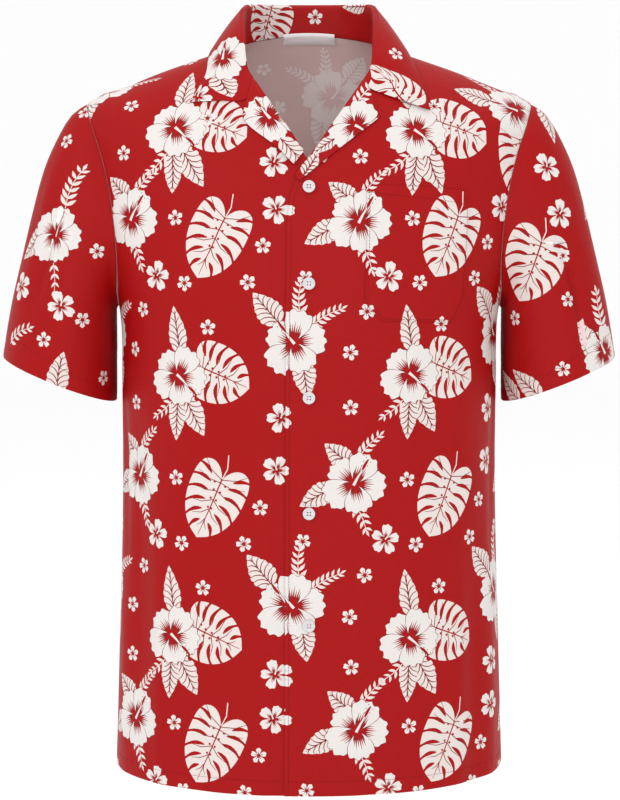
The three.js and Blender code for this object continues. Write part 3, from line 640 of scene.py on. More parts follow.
def collar_net():
    angles = np.linspace(COLLAR_START, 180, COLLAR_STEPS + 1)
    halves = [np.array([collar_end(leaf)] + [collar_line(a, leaf) for a in angles])
              for leaf in (COLLAR_LEAF["left"], COLLAR_LEAF["right"])]
    left, right = halves
    right[:, :, 0] *= -1
    return Net(np.concatenate([right, left[:-1][::-1]]))


def label_net():
    """The label, sewn on over the seam between the collar and the back."""
    grid = []
    stand = 1.6                 # from the cloth's middle inwards to the label's
    rise = np.linalg.norm(BODY.look(180 * BODY_STEP, NECK_H)[3])
    for below in (-LABEL_ABOVE_SEAM, 0, LABEL_BELOW_SEAM / 2, LABEL_BELOW_SEAM):
        line = []
        for x in np.linspace(-LABEL_WIDTH / 2, LABEL_WIDTH / 2, 7):
            h = NECK_H - max(0, below) / rise
            angle = 180 - angle_at(x, h)
            inward = -form_normal(angle, h)[0]
            if below <= 0:
                inward[2] = 0
            inward = unit(inward)
            point = body_point(angle, h, -0.6)[0] + inward * (stand if below > 0 else stand + 0.5)
            point[2] += max(0, -below)
            line.append(point)
        grid.append(line)
    return Net(np.array(grid[::-1]).transpose(1, 0, 2))


def front_outline(side):
    """Edge of a front panel on its chart, anticlockwise for the wearer's left front."""
    v_h = on_front(*V_POINT)[1][0]
    edge_h = np.linspace(0, v_h, 170)
    edge = np.stack([front_edge_angle(edge_h), edge_h], axis=-1)
    roll = []
    for t in np.linspace(0, 1, 26)[1:]:
        angle, h = on_front(mix(V_POINT[0], ROLL_TOP[0], t), mix(V_POINT[1], ROLL_TOP[1], t))
        roll.append([angle[0], h[0]])
    roll[-1] = [angle_at(ROLL_TOP[0], NECK_H)[0], NECK_H]
    neck = [[angle, NECK_H] for angle in np.linspace(roll[-1][0], 90 - seam_angle(NECK_H)[0], 20)[1:]]
    heights = np.concatenate([
        np.linspace(NECK_H, SHOULDER_H, 45)[1:],
        mix(ARMPIT_H, SHOULDER_H, (1 + np.cos(np.linspace(0, np.pi, 60))) / 2)[1:],
        np.linspace(ARMPIT_H, 0, 110)[1:],
    ])
    outer = np.stack([90 - side_cut(heights), heights], axis=-1)
    hem = [[angle, 0] for angle in np.linspace(outer[-1][0], edge[0][0], 70)[1:-1]]
    line = np.concatenate([edge, roll, neck, outer, hem])
    line[:, 0] *= side * BODY_STEP
    return line


def back_outline():
    """Edge of the back on its chart, from the hem up the wearer's left side."""
    heights = np.concatenate([
        np.linspace(0, ARMPIT_H, 110),
        mix(ARMPIT_H, SHOULDER_H, (1 - np.cos(np.linspace(0, np.pi, 60))) / 2)[1:],
        np.linspace(SHOULDER_H, NECK_H, 45)[1:],
    ])
    start = np.stack([90 + side_cut(heights), heights], axis=-1)
    end = np.stack([270 - side_cut(heights), heights], axis=-1)[::-1]
    neck = np.stack([np.linspace(start[-1][0], end[0][0], 60), np.full(60, float(NECK_H))], axis=-1)[1:-1]
    hem = np.stack([np.linspace(end[-1][0], start[0][0], 140), np.zeros(140)], axis=-1)[1:-1]
    line = np.concatenate([start, neck, end, hem])
    line[:, 0] *= BODY_STEP
    return line


def rectangle_outline(a_from, a_to, b_from, b_to, step=EDGE_STEP):
    corners = [(a_from, b_from), (a_to, b_from), (a_to, b_to), (a_from, b_to)]
    return fine_outline(corners, step)


def fine_outline(corners, step):
    line = []
    for start, end in zip(corners, corners[1:] + corners[:1]):
        start, end = np.array(start, float), np.array(end, float)
        count = max(1, math.ceil(np.linalg.norm(end - start) / step))
        line += [mix(start, end, i / count) for i in range(count)]
    return np.array(line)


# The print: each motif is a list of (ink, outline) in millimetres, painted in order.
INKS = ["ground", "petal", "leaf", "line"]


def anticlockwise(polygon):
    x, y = polygon[:, 0], polygon[:, 1]
    area = (x * np.roll(y, -1) - np.roll(x, -1) * y).sum()
    return polygon if area > 0 else polygon[::-1]


def stroke(start, end, widths, bend=0.0):
    """A stroke from start to end with a width at each of its steps, bent to its left."""
    start, end = np.array(start, float), np.array(end, float)
    t = np.linspace(0, 1, len(widths))[:, None]
    way = end - start
    side = np.array([-way[1], way[0]])
    line = start + way * t + side * bend * 4 * t * (1 - t)
    half = np.maximum(np.array(widths, float), 0.1)[:, None] / 2 * side / max(np.hypot(*way), 1e-6)
    return np.vstack([line - half, (line + half)[::-1]])


def polar(radius, angle):
    return np.array([radius * math.cos(math.radians(angle)), radius * math.sin(math.radians(angle))])


def petal(angle, length, spread, ruffle, waves, count):
    """Outline of a petal from the heart of a flower out to its ruffled rim."""
    t = np.sin(np.linspace(-np.pi / 2, np.pi / 2, count))[:-1]
    reach = length * (1 - np.abs(t) ** 4.2) ** 0.5
    reach += ruffle * length * np.sin(waves * np.pi * t + angle) * (1 - t * t)
    turn = np.radians(angle + spread * t)
    return np.stack([reach * np.cos(turn), reach * np.sin(turn)], axis=-1)


def blot(centre, radius, sides=6):
    turn = np.linspace(0, 2 * np.pi, sides, endpoint=False)
    return np.array(centre) + radius * np.stack([np.cos(turn), np.sin(turn)], axis=-1)


def star(radius, turn, inner, points=5):
    """A star with its points along the petals."""
    step = 180 / points
    sizes = [radius, radius * inner] * points
    return np.array([polar(size, turn + step * i) for i, size in enumerate(sizes)])


def hibiscus(radius, turn, stamen):
    """A large bloom: five ruffled petals with rays from a red heart, and a long stamen."""
    shapes = []
    for k in (1, 4, 2, 0, 3):
        middle = turn + 72 * k
        length = radius * (1, 0.93, 1.05, 0.95, 1.0)[k]
        shapes.append(("line", petal(middle, length + 0.5, 47.5, 0.055, 5.2, 30)))
        shapes.append(("petal", petal(middle, length, 46, 0.055, 5.2, 30)))
        for i, off in enumerate((-33, -24, -15, -6, 4, 13, 22, 31)):
            reach = radius * (0.42, 0.54, 0.63, 0.56, 0.66, 0.58, 0.6, 0.45)[i]
            tone = "ground" if i in (2, 4, 5) else "line"
            ray = stroke(polar(radius * 0.13, middle + off * 1.1), polar(reach, middle + off * 0.82),
                         (2.3, 1.7, 0.9, 0.1), 0.02 * (i - 3.5))
            shapes.append((tone, ray))
    shapes.append(("ground", star(radius * 0.27, turn, 0.66)))
    tip = polar(radius * 0.9, stamen)
    middle = polar(radius * 0.5, stamen)
    root = polar(radius * 0.07, stamen + 180)
    shapes.append(("line", stroke(middle, tip, (1.6, 3.0, 2.6, 1.2), 0.03)))
    shapes.append(("ground", stroke(middle, tip, (0.9, 2.3, 1.8, 0.6), 0.03)))
    shapes.append(("line", stroke(root, middle, (3.7, 2.8, 2.3), 0.02)))
    shapes.append(("petal", stroke(root, middle, (2.9, 2.0, 1.2), 0.02)))
    for reach, off in ((0.62, 8), (0.7, -7), (0.78, 8), (0.86, -7), (0.93, 6), (1.0, -2)):
        shapes.append(("line", blot(polar(radius * reach, stamen + off), 0.6, 5)))
    return shapes


def small_flower(radius, turn, stamen):
    """A smaller bloom with four rays on each petal."""
    shapes = []
    for k in range(5):
        middle = turn + 72 * k
        length = radius * (1, 0.93, 0.98)[k % 3]
        shapes.append(("petal", petal(middle, length, 32, 0.05, 3.2, 16)))
        for i, off in enumerate((-20, -7, 6, 19)):
            reach = radius * (0.42, 0.6, 0.62, 0.44)[i]
            root, end = polar(radius * 0.12, middle + off), polar(reach, middle + off * 0.8)
            ray = stroke(root, end, (1.2, 0.8, 0.1))
            shapes.append(("ground" if i in (1, 2) else "line", ray))
    shapes.append(("ground", star(radius * 0.26, turn, 0.6)))
    tip = polar(radius * 0.75, stamen)
    shapes.append(("petal", stroke((0, 0), tip, (1.5, 0.9, 0.3))))
    return shapes


def blossom(radius, turn):
    """The smallest bloom, with one ray on each petal."""
    shapes = []
    for k in range(5):
        middle = turn + 72 * k
        shapes.append(("petal", petal(middle, radius, 31, 0.07, 2.4, 12)))
        ray = stroke(polar(radius * 0.1, middle), polar(radius * 0.62, middle), (1.1, 0.8, 0.1))
        shapes.append(("line", ray))
    shapes.append(("ground", star(radius * 0.36, turn + 36, 0.5)))
    return shapes


def leaf(start, tip, width, veins):
    """A pointed leaf, widest near its stalk, with curved veins that notch its edge."""
    start, tip = np.array(start, float), np.array(tip, float)
    way = tip - start
    side = np.array([-way[1], way[0]]) / np.hypot(*way)

    def half(u):
        return width / 2 * np.sin(np.pi * np.clip(u, 0, 1) ** 0.66) ** 0.85

    edges = []
    for sign in (1, -1):
        u = np.linspace(0.03, 0.98, veins * 3)
        notch = 1 - 0.1 * (np.arange(len(u)) % 3 == 0)
        edges.append(start + np.outer(u, way) + np.outer(sign * half(u) * notch, side))
    shapes = [("leaf", np.vstack([[start], edges[1], [tip], edges[0][::-1]]))]
    for k in range(veins):
        u = 0.03 + 0.8 * k / veins
        for sign in (1, -1):
            root = start + way * u
            rim = u + 0.2
            end = start + way * rim + side * sign * half(rim) * 0.97
            shapes.append(("line", stroke(root, end, (1.1, 1.0, 0.9, 0.7), -0.16 * sign)))
    shapes.append(("line", stroke(start, start + way * 0.93, (1.2, 1.0, 0.3))))
    return shapes


MONSTERA_HALF = [(0.0, 0.0), (-0.1, 0.05), (-0.2, 0.15), (-0.24, 0.28), (-0.19, 0.41), (-0.05, 0.48),
                 (0.12, 0.5), (0.3, 0.5), (0.48, 0.47), (0.64, 0.41), (0.79, 0.31), (0.91, 0.17), (1.0, 0.0)]
# Splits of a monstera: a place outside its edge, as a share of the way and of the width, and
# the inner end of the split.
MONSTERA_SPLITS = [
    ((-0.12, 0.54), (-0.03, 0.2)),
    ((0.12, 0.56), (0.09, 0.16)),
    ((0.36, 0.55), (0.23, 0.15)),
    ((0.6, 0.48), (0.38, 0.13)),
    ((0.79, 0.37), (0.54, 0.12)),
    ((0.94, 0.21), (0.71, 0.08)),
]


def monstera(base, tip, width):
    """A broad heart-shaped leaf with deep splits from its edge and holes beside its midrib."""
    base, tip = np.array(base, float), np.array(tip, float)
    way = tip - base
    side = np.array([-way[1], way[0]]) / np.hypot(*way) * width

    def at(u, w):
        return base + way * u + side * w

    half = np.array(MONSTERA_HALF)
    keys = np.arange(len(half))
    fine = basis(keys, np.linspace(0, len(half) - 1, 34)) @ half
    left = [at(u, w) for u, w in fine]
    right = [at(u, -w) for u, w in fine[1:-1]][::-1]
    shapes = [("leaf", stroke(at(-0.4, -0.06), at(0.02, 0), (1.1, 1.1, 1.0), 0.1))]
    shapes.append(("leaf", np.array(left + right)))
    for sign in (1, -1):
        for k, (outer, inner) in enumerate(MONSTERA_SPLITS):
            drop = stroke(at(outer[0], outer[1] * sign), at(inner[0], inner[1] * sign),
                          (3.8, 2.5, 2.3, 2.9, 3.7, 4.0, 3.1, 1.0), -0.13 * sign)
            shapes.append(("ground", drop))
            if k < 4:
                shapes.append(("ground", blot(at(inner[0] + 0.1, (inner[1] - 0.1) * sign), 1.3, 6)))
            root = at(max(0.0, inner[0] - 0.04), 0)
            rib = at(outer[0] - 0.12, (outer[1] - 0.12) * sign)
            shapes.append(("line", stroke(root, rib, (0.9, 0.8, 0.4), -0.1 * sign)))
    shapes.append(("ground", stroke(at(-0.02, 0), at(0.95, 0), (1.5, 1.2, 0.5), 0.01)))
    return shapes


def fern(start, tip, pairs, leaflet, bend=0.06):
    """A sprig of paired pointed leaflets along a stalk."""
    start, tip = np.array(start, float), np.array(tip, float)
    way = tip - start
    side = np.array([-way[1], way[0]])
    shapes = [("leaf", stroke(start, tip, (1.0, 0.9, 0.8, 0.6), bend))]
    heading = math.degrees(math.atan2(way[1], way[0]))
    for k in range(pairs):
        t = 0.08 + 0.86 * k / max(1, pairs - 1)
        root = start + way * t + side * bend * 4 * t * (1 - t)
        length = leaflet * (1 - 0.36 * t)
        for sign in (1, -1):
            end = root + polar(length, heading + sign * 44)
            widths = (0.5, length * 0.3, length * 0.36, length * 0.22, 0.1)
            shapes.append(("leaf", stroke(root, end, widths, 0.05 * sign)))
    shapes.append(("leaf", stroke(tip, tip + unit(way) * leaflet * 0.7, (0.4, leaflet * 0.25, 0.1))))
    return shapes


def spun(shapes, degrees):
    turn = math.radians(degrees)
    spin = np.array([[math.cos(turn), math.sin(turn)], [-math.sin(turn), math.cos(turn)]])
    return [(ink, polygon @ spin) for ink, polygon in shapes]


CLUSTER_A = (leaf((2, 22), (-5, 68), 20, 6) + leaf((7, -20), (27, -57), 25, 6)
             + leaf((-1, -24), (-3, -63), 19, 6) + fern((-8, -25), (-27, -40), 4, 9)
             + monstera((26, 9), (72, -10), 58) + hibiscus(29, 62, -42))
CLUSTER_B = (leaf((-4, 18), (-29, 39), 22, 6) + leaf((-20, -3), (-53, -22), 23, 6)
             + fern((4, 25), (24, 46), 5, 10) + fern((1, -22), (11, -45), 4, 11)
             + hibiscus(30, 65, 60))
CLUSTER_D = (leaf((-16, 20), (-41, 50), 26, 6) + fern((7, 26), (7, 56), 5, 11)
             + fern((17, 15), (46, 32), 6, 10) + leaf((9, -18), (14, -54), 23, 6)
             + hibiscus(31, 80, 128))
SLEEVE_CLUSTER = (leaf((-12, 2), (-50, -5), 26, 6) + fern((10, 26), (22, 64), 6, 12)
                  + fern((-2, -28), (-4, -58), 4, 9) + hibiscus(28, 66, 68))
HEM_CLUSTER = (leaf((-10, -8), (-34, 32), 23, 6) + fern((-4, 24), (-10, 58), 5, 12) + hibiscus(27, 80, 125))
LONE_MONSTERA = monstera((8, 18), (-18, -39), 58)
COLLAR_BLOOM = leaf((-1, -18), (-2, -45), 20, 5) + hibiscus(26, 70, 80)
LAPEL_BLOOM = hibiscus(27, 75, 130)
FLOWER = small_flower(14.5, 90, 60)
BLOSSOM = blossom(7.6, 90)
LEAF = leaf((0, 0), (2, 44), 22, 6)
SMALL_LEAF = leaf((0, 0), (0, 26), 14, 5)
SPRIG = fern((0, 0), (4, 34), 5, 11)

REPEAT_A = 232.0            # spacing of the repeat across the cloth
REPEAT_B = 234.0            # and up it
# One repeat of the print, from the heart of its first bloom: motif, across, up and turn.
REPEAT = [
    (CLUSTER_A, 0, 0, 0),
    (CLUSTER_B, 177, -87, 0),
    (CLUSTER_D, 117, -202, 0),
    (LONE_MONSTERA, 38, -102, 0),
    (FLOWER, 103, -33, 15),
    (FLOWER, 99, -76, 50),
    (FLOWER, 207, -140, -10),
    (BLOSSOM, 84, -110, 0),
    (BLOSSOM, 70, -144, 20),
    (BLOSSOM, 6, -146, 40),
    (BLOSSOM, -3, -85, 10),
    (BLOSSOM, 127, -141, 30),
    (BLOSSOM, 31, -187, 0),
    (BLOSSOM, 187, -173, 25),
    (BLOSSOM, 172, -212, 50),
    (BLOSSOM, 173, -26, 5),
]

# Motifs that sit where the repeat is cut and turned: motif, x, z seen from the front, turn.
PLACED = {
    "front_left": [
        (CLUSTER_D, 203, -62, 22),
        (LONE_MONSTERA, 207, -112, 25),
    ],
    "front_right": [],
    "sleeve_right": [
        (BLOSSOM, -222, -66, 0),
        (BLOSSOM, -239, -94, 30),
        (SLEEVE_CLUSTER, -249, -184, 0),
        (BLOSSOM, -207, -201, 10),
        (LONE_MONSTERA, -178, -246, 0),
        (FLOWER, -243, -254, 20),
        (FLOWER, -284, -236, 0),
        (BLOSSOM, -222, -267, 30),
        (BLOSSOM, -261, -287, 0),
        (SPRIG, -296, -293, -60),
        (BLOSSOM, -204, -327, 15),
        (LEAF, -248, -341, 0),
    ],
    "sleeve_left": [
        (LEAF, 229, -62, -150),
        (FLOWER, 234, -119, 30),
        (FLOWER, 247, -164, 0),
        (SMALL_LEAF, 277, -160, 165),
        (LONE_MONSTERA, 221, -211, 5),
        (BLOSSOM, 250, -204, 20),
        (BLOSSOM, 254, -247, 0),
        (BLOSSOM, 203, -267, 30),
        (HEM_CLUSTER, 292, -302, 0),
        (BLOSSOM, 250, -316, 10),
        (LEAF, 228, -344, 52),
        (LEAF, 208, -350, 60),
    ],
    "collar": [
        (COLLAR_BLOOM, -84, -13, 0),
        (FLOWER, -108, -50, 20),
        (monstera((0, 0), (-45, 42), 56), 96, -57, 0),
        (BLOSSOM, 85, -9, 20),
        (monstera((0, 0), (-14, -40), 52), -38, 38, 0),
        (BLOSSOM, 6, 29, 0),
        (leaf((0, 0), (-32, 2), 15, 5), 56, 39, 0),
    ],
    "lapel_right": [
        (LAPEL_BLOOM, -38.5, -69.5, 0),
        (LEAF, -27, -90, -130),
        (SPRIG, -55, -64, 110),
    ],
    "lapel_left": [
        (SPRIG, 44, -60, -35),
        (hibiscus(27, 62, -33), 46, -78, 0),
        (SMALL_LEAF, 25, -90, 120),
        (SMALL_LEAF, -5, -124, -35),
    ],
}


class FlatCloth:
    """Finds a place of the body from its distance along the cloth and its height z."""

    reach = 130                 # degrees to both sides of its middle
    step = 2                    # degrees from column to column

    def __init__(self, centre):
        self.centre = centre
        self.hs = np.linspace(-110, NECK_H + 40, 240)
        self.turns = np.linspace(-self.reach, self.reach, 2 * self.reach // self.step + 1)
        grid_turn, grid_h = np.meshgrid(self.turns, self.hs)
        points = BODY.look((centre + grid_turn.ravel()) * BODY_STEP, grid_h.ravel())[0]
        points = points.reshape(*grid_h.shape, 3)
        steps = np.linalg.norm(np.diff(points, axis=1), axis=2)
        arcs = np.concatenate([np.zeros((len(self.hs), 1)), np.cumsum(steps, axis=1)], axis=1)
        self.arcs = arcs - arcs[:, [self.reach // self.step]]
        self.z = points[:, :, 2]

    def place(self, s, z):
        turn = 0.0
        for _ in range(8):
            spot = np.clip((turn + self.reach) / self.step, 0, len(self.turns) - 1.01)
            column = int(spot)
            heights = mix(self.z[:, column], self.z[:, column + 1], spot - column)
            h = np.interp(z, heights, self.hs)
            row = int(np.clip(np.searchsorted(self.hs, h), 0, len(self.hs) - 1))
            turn = np.interp(s, self.arcs[row], self.turns)
        return (self.centre + turn) * BODY_STEP, h


FRONT_FLAT = FlatCloth(0)
BACK_FLAT = FlatCloth(180)


def repeat_places(shift, s_range, z_range):
    """Motifs of the repeat over a range of the cloth, as (motif, (s, z), turn)."""
    places = []
    for i in range(-4, 5):
        for j in range(-4, 6):
            for shapes, across, up, turn in REPEAT:
                s = shift[0] + i * REPEAT_A + across
                z = shift[1] + j * REPEAT_B + up
                if s_range[0] < s < s_range[1] and z_range[0] < z < z_range[1]:
                    places.append((shapes, (s, z), turn))
    return places


def body_print(flat, shift, s_range, drift=((0, 0, 0),), z_range=(-830, 40)):
    """The repeat on the body. A row of drift is a height and how far the print has moved there,
    across and up."""
    heights, across, up = zip(*drift)
    found = []
    for shapes, (s, z), turn in repeat_places(shift, s_range, z_range):
        place = flat.place(s + np.interp(z, heights, across), z + np.interp(z, heights, up))
        found.append((shapes, place, turn))
    return found


SHOULDER_SPOT = (206, -80)  # where placed motifs take the room of the repeat, seen from the front


def crowded(motif, cloth, spot, room=62):
    """Whether a motif's heart lies near a spot that is seen from the front."""
    point = cloth.point(*motif[1])[0]
    return math.hypot(point[0] - spot[0], point[2] - spot[1]) < room


def placed_print(cloth, name):
    """The motifs of PLACED for one piece, on its chart."""
    found = []
    for shapes, x, z, turn in PLACED[name]:
        place, chart_turn = cloth.seen(x, z)
        found.append((shapes, place, turn + chart_turn))
    return found


def cut_up(points, polygons, merged):
    """Triangles of the first polygon's inside, each with the last polygon that covers it."""
    faces, start = [], 0
    for polygon in polygons:
        faces.append(list(range(start, start + len(polygon))))
        start += len(polygon)
    places = [Vector(p) for p in np.vstack([*polygons, *points]).tolist()]
    result = delaunay_2d_cdt(places, [], faces, 0, merged, True)
    kept = [(face, max(held)) for face, held in zip(result[2], result[5]) if 0 in held]
    used, triangles = np.unique(np.array([face for face, _ in kept]), return_inverse=True)
    verts = np.array([[v[0], v[1]] for v in result[0]])[used]
    came_from = {origin: spot for spot, old in enumerate(used) for origin in result[3][old]}
    return verts, triangles.reshape(-1, 3), np.array([top for _, top in kept]), came_from


def within(outline, spots):
    """Whether all the spots lie inside an outline."""
    inside = np.zeros(len(spots), bool)
    x, y = spots[:, 0], spots[:, 1]
    for (x0, y0), (x1, y1) in zip(outline, np.roll(outline, -1, axis=0)):
        if y0 != y1:
            crossed = (y0 > y) != (y1 > y)
            inside ^= crossed & (x < x0 + (y - y0) * (x1 - x0) / (y1 - y0))
    return inside.all()


def grid_points(low, high, step):
    """An even grid of points between two corners."""
    a = np.arange(low[0] + step / 2, high[0], step)
    b = np.arange(low[1] + step / 2, high[1], step)
    return np.stack(np.meshgrid(a, b), axis=-1).reshape(-1, 2)


def rim_loop(triangles):
    """The points round the edge of a triangulation, in order."""
    sides = np.vstack([triangles[:, [0, 1]], triangles[:, [1, 2]], triangles[:, [2, 0]]])
    key = np.sort(sides, axis=1)
    _, index, uses = np.unique(key[:, 0] * (key.max() + 1) + key[:, 1], return_index=True, return_counts=True)
    following = dict(sides[index[uses == 1]].tolist())
    start = next(iter(following))
    loop = [start]
    while following[loop[-1]] != start:
        loop.append(following[loop[-1]])
    return loop


def printed_shell(name, cloth, outline, motifs, skin, inks, extra=(), ghost_above=None):
    """A shell of cloth over its outline, cut into the shapes of its print. The reverse has only
    the shapes of the petals and leaves, and their lines too above a height of the chart."""
    outline = anticlockwise(outline)
    polygons, owner = [outline], [0]
    ghosts, ghost_owner = [], [0]
    low, high = outline.min(axis=0), outline.max(axis=0)
    for shapes, place, turn in motifs:
        flat = spun(shapes, turn)
        spots = cloth.walk(place, np.vstack([polygon for _, polygon in flat]))
        through = len(inks) > len(INKS) and within(outline, spots)
        first = 0
        for ink, polygon in flat:
            spot = anticlockwise(spots[first:first + len(polygon)])
            first += len(polygon)
            if (spot.max(axis=0) >= low).all() and (spot.min(axis=0) <= high).all():
                polygons.append(spot)
                owner.append(INKS.index(ink))
                if through and (ink in ("petal", "leaf") or place[1] > (ghost_above or NECK_H)):
                    ghosts.append(spot)
                    ghost_owner.append(INKS.index(ink))
    run = np.roll(outline, -1, axis=0) - np.roll(outline, 1, axis=0)
    inward = unit(np.stack([-run[:, 1], run[:, 0]], axis=-1))
    rims = [outline + inward * distance for distance in RIM_ROWS]
    verts, triangles, top, _ = cut_up([grid_points(low, high, GRID), *rims, *extra], polygons, MERGED)
    loop = rim_loop(triangles)
    back_points = [grid_points(low, high, GRID), *extra]
    back_verts, back_triangles, back_top, came_from = cut_up(back_points, [verts[loop], *ghosts], BACK_MERGED)
    back_loop = [came_from[k] for k in range(len(loop))]
    outer = Layer(verts, triangles, np.array(owner)[top], loop)
    inner = Layer(back_verts, back_triangles, np.array(ghost_owner)[back_top], back_loop)
    return shell_mesh(name, cloth, outer, inner, outline, skin, inks)


class Layer:
    """One side of a shell: its points on the chart, triangles, inks and the points of its edge."""

    def __init__(self, verts, triangles, ink, loop):
        self.verts, self.triangles, self.ink, self.loop = verts, triangles, ink, np.array(loop)


def edge_turn(tree, outline, layer, across, up):
    """How deep the cloth turns in near its edge, and the tilt of its surface there."""
    near = [tree.find((v[0], v[1], 0)) for v in layer.verts]
    away = np.array([found[2] for found in near])
    to_edge = unit(outline[[found[1] for found in near]] - layer.verts)
    depth = EDGE_TURN * np.exp(-(away / EDGE_ROUND) ** 2)
    slope = depth * 2 * away / EDGE_ROUND ** 2
    return depth, unit(across * to_edge[:, :1] + up * to_edge[:, 1:]) * slope[:, None]


def shell_mesh(name, cloth, outer, inner, outline, skin, inks):
    """Outer layer, inner layer and rim."""
    tree = kdtree.KDTree(len(outline))
    for i, point in enumerate(outline):
        tree.insert((point[0], point[1], 0), i)
    tree.balance()
    top, thickness = skin
    point, normal, across, up = cloth.frame(*outer.verts.T)
    depth, tilt = edge_turn(tree, outline, outer, across, up)
    outer_points = point + normal * (top - depth)[:, None]
    back_point, back_normal, _, _ = cloth.frame(*inner.verts.T)
    inner_points = back_point + back_normal * (top - thickness - cloth.extra(*inner.verts.T))[:, None]
    count = len(outer.verts)
    p, q = outer.loop, np.roll(outer.loop, -1)
    back_p, back_q = inner.loop + count, np.roll(inner.loop, -1) + count
    rim = np.stack([q, p, back_p, back_q], axis=-1)
    faces = [*outer.triangles.tolist(), *(inner.triangles[:, ::-1] + count).tolist(), *rim.tolist()]
    mesh = bpy.data.meshes.new(name)
    mesh.from_pydata((np.vstack([outer_points, inner_points]) * MM).tolist(), [], faces)
    for material in inks:
        mesh.materials.append(material)
    reverse = inner.ink + (len(INKS) if len(inks) > len(INKS) else 0)
    slots = np.concatenate([outer.ink, reverse, np.zeros(len(rim), int)])
    mesh.polygons.foreach_set("material_index", slots.astype(np.int32))
    lay_out(mesh, outer, inner, len(rim))
    mesh.polygons.foreach_set("use_smooth", np.ones(len(faces), bool))
    mesh.normals_split_custom_set_from_vertices(np.vstack([unit(normal + tilt), -back_normal]).tolist())
    return added(f"{name}_cloth", mesh)


def added(name, mesh):
    """A mesh as a piece in the scene that rides on the part's only body."""
    piece = bpy.data.objects.new(name, mesh)
    bpy.context.scene.collection.objects.link(piece)
    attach(piece, "root")
    return piece


def lay_out(mesh, outer, inner, rims):
    """UV maps: OFBake has every face apart, with the outer side on the left, the reverse on the
    right and the rim in cells above them, and Cloth is the chart in metres."""
    low, high = outer.verts.min(axis=0), outer.verts.max(axis=0)
    front = (outer.verts - low) / (high - low) * [0.48, 0.9] + [0.005, 0.005]
    back = (inner.verts - low) / (high - low) * [0.48, 0.9] + [0.505, 0.005]
    cells = 200
    k = np.arange(rims)
    rows = rims // cells + 1
    left, bottom = (k % cells) / cells, 0.92 + (k // cells) * 0.08 / rows
    width, height = 0.8 / cells, 0.06 / rows
    corners = ((0, 0), (width, 0), (width, height), (0, height))
    cell = np.stack([np.stack([left + x, bottom + y], axis=-1) for x, y in corners], axis=1).reshape(-1, 2)
    sides = [front[outer.triangles], back[inner.triangles[:, ::-1]], cell]
    bake = np.vstack([side.reshape(-1, 2) for side in sides])
    loops = np.empty(len(mesh.loops), np.int32)
    mesh.loops.foreach_get("vertex_index", loops)
    cloth = (np.vstack([outer.verts, inner.verts]) * MM)[loops]
    for layer, values in (("OFBake", bake), ("Cloth", cloth)):
        mesh.uv_layers.new(name=layer).data.foreach_set("uv", values.astype(np.float32).ravel())


def hem_groove(line, seed):
    """A sunk line of stitching at a height of the chart, with small puckers on both sides."""
    shift = random.Random(seed).uniform(0, 6)

    def groove(a, b):
        away = b - line
        pucker = np.sin(a / 2.3 + shift) * np.sin(a / 5.9 + 2 * shift)
        return -0.28 * np.exp(-(away / 1.2) ** 2) + 0.2 * pucker * np.exp(-(away / 6) ** 2)

    return groove


def hem_extra(line):
    """The cloth below the stitching is thicker, because it is turned up inside."""
    return lambda a, b: 0.6 * smooth((line - b) / 2 + 0.5)


# Stitches: spindles of thread half sunk in the cloth, all of them in one piece.
STITCH_LENGTH = 2.5
STITCH_STEP = 3.1
STITCH_RADIUS = 0.19
stitches = []


def sew(cloth, line, lift=0.12):
    """A row of stitches along a line of the chart."""
    line = np.array(line, float)
    count = max(2, int(np.linalg.norm(np.diff(line, axis=0), axis=1).sum() / 1.5))
    t = np.linspace(0, len(line) - 1, count)
    keys = np.arange(len(line))
    a, b = np.interp(t, keys, line[:, 0]), np.interp(t, keys, line[:, 1])
    point, normal, _, _ = cloth.frame(a, b)
    point = point + normal * lift
    runs = np.concatenate([[0], np.cumsum(np.linalg.norm(np.diff(point, axis=0), axis=1))])
    starts = np.arange(0.5, runs[-1] - STITCH_LENGTH, STITCH_STEP)

    def at(run, values):
        return np.stack([np.interp(run, runs, values[:, i]) for i in range(3)], axis=-1)

    first, last, up = at(starts, point), at(starts + STITCH_LENGTH, point), at(starts, normal)
    stitches.append((first, last, up))


def stitching(name, material, groups, radius=STITCH_RADIUS):
    """One piece of many stitches: each a spindle of six sides."""
    first, last, up = (np.vstack([group[i] for group in groups]) for i in range(3))
    way = last - first
    side = unit(np.cross(way, up))
    above = unit(np.cross(side, way))
    rings = []
    for share, size in ((0, 0.35), (0.15, 1), (0.85, 1), (1, 0.35)):
        for k in range(6):
            turn = math.radians(60 * k)
            around = side * math.cos(turn) + above * math.sin(turn)
            rings.append(first + way * share + around * radius * size)
    verts = np.stack(rings, axis=1)
    pattern = [(r * 6 + k, r * 6 + (k + 1) % 6, (r + 1) * 6 + (k + 1) % 6, (r + 1) * 6 + k)
               for r in range(3) for k in range(6)]
    caps = [(5, 4, 3, 2, 1, 0), (18, 19, 20, 21, 22, 23)]
    faces = [[24 * n + corner for corner in face] for n in range(len(first)) for face in pattern + caps]
    mesh = bpy.data.meshes.new(name)
    mesh.from_pydata((verts.reshape(-1, 3) * MM).tolist(), [], faces)
    mesh.materials.append(material)
    mesh.polygons.foreach_set("use_smooth", np.ones(len(faces), bool))
    cells_out(mesh)
    return added(name, mesh)


def cells_out(mesh):
    """A UV map with every face in a cell of its own."""
    side = math.ceil(math.sqrt(len(mesh.polygons)))
    layer = mesh.uv_layers.new(name="OFBake").data
    for k, polygon in enumerate(mesh.polygons):
        left, bottom = (k % side) / side, (k // side) / side
        for i, loop in enumerate(polygon.loop_indices):
            turn = 2 * math.pi * (i + 0.5) / len(polygon.loop_indices)
            across, up = 0.5 + 0.4 * math.cos(turn), 0.5 + 0.4 * math.sin(turn)
            layer[loop].uv = (left + across / side, bottom + up / side)


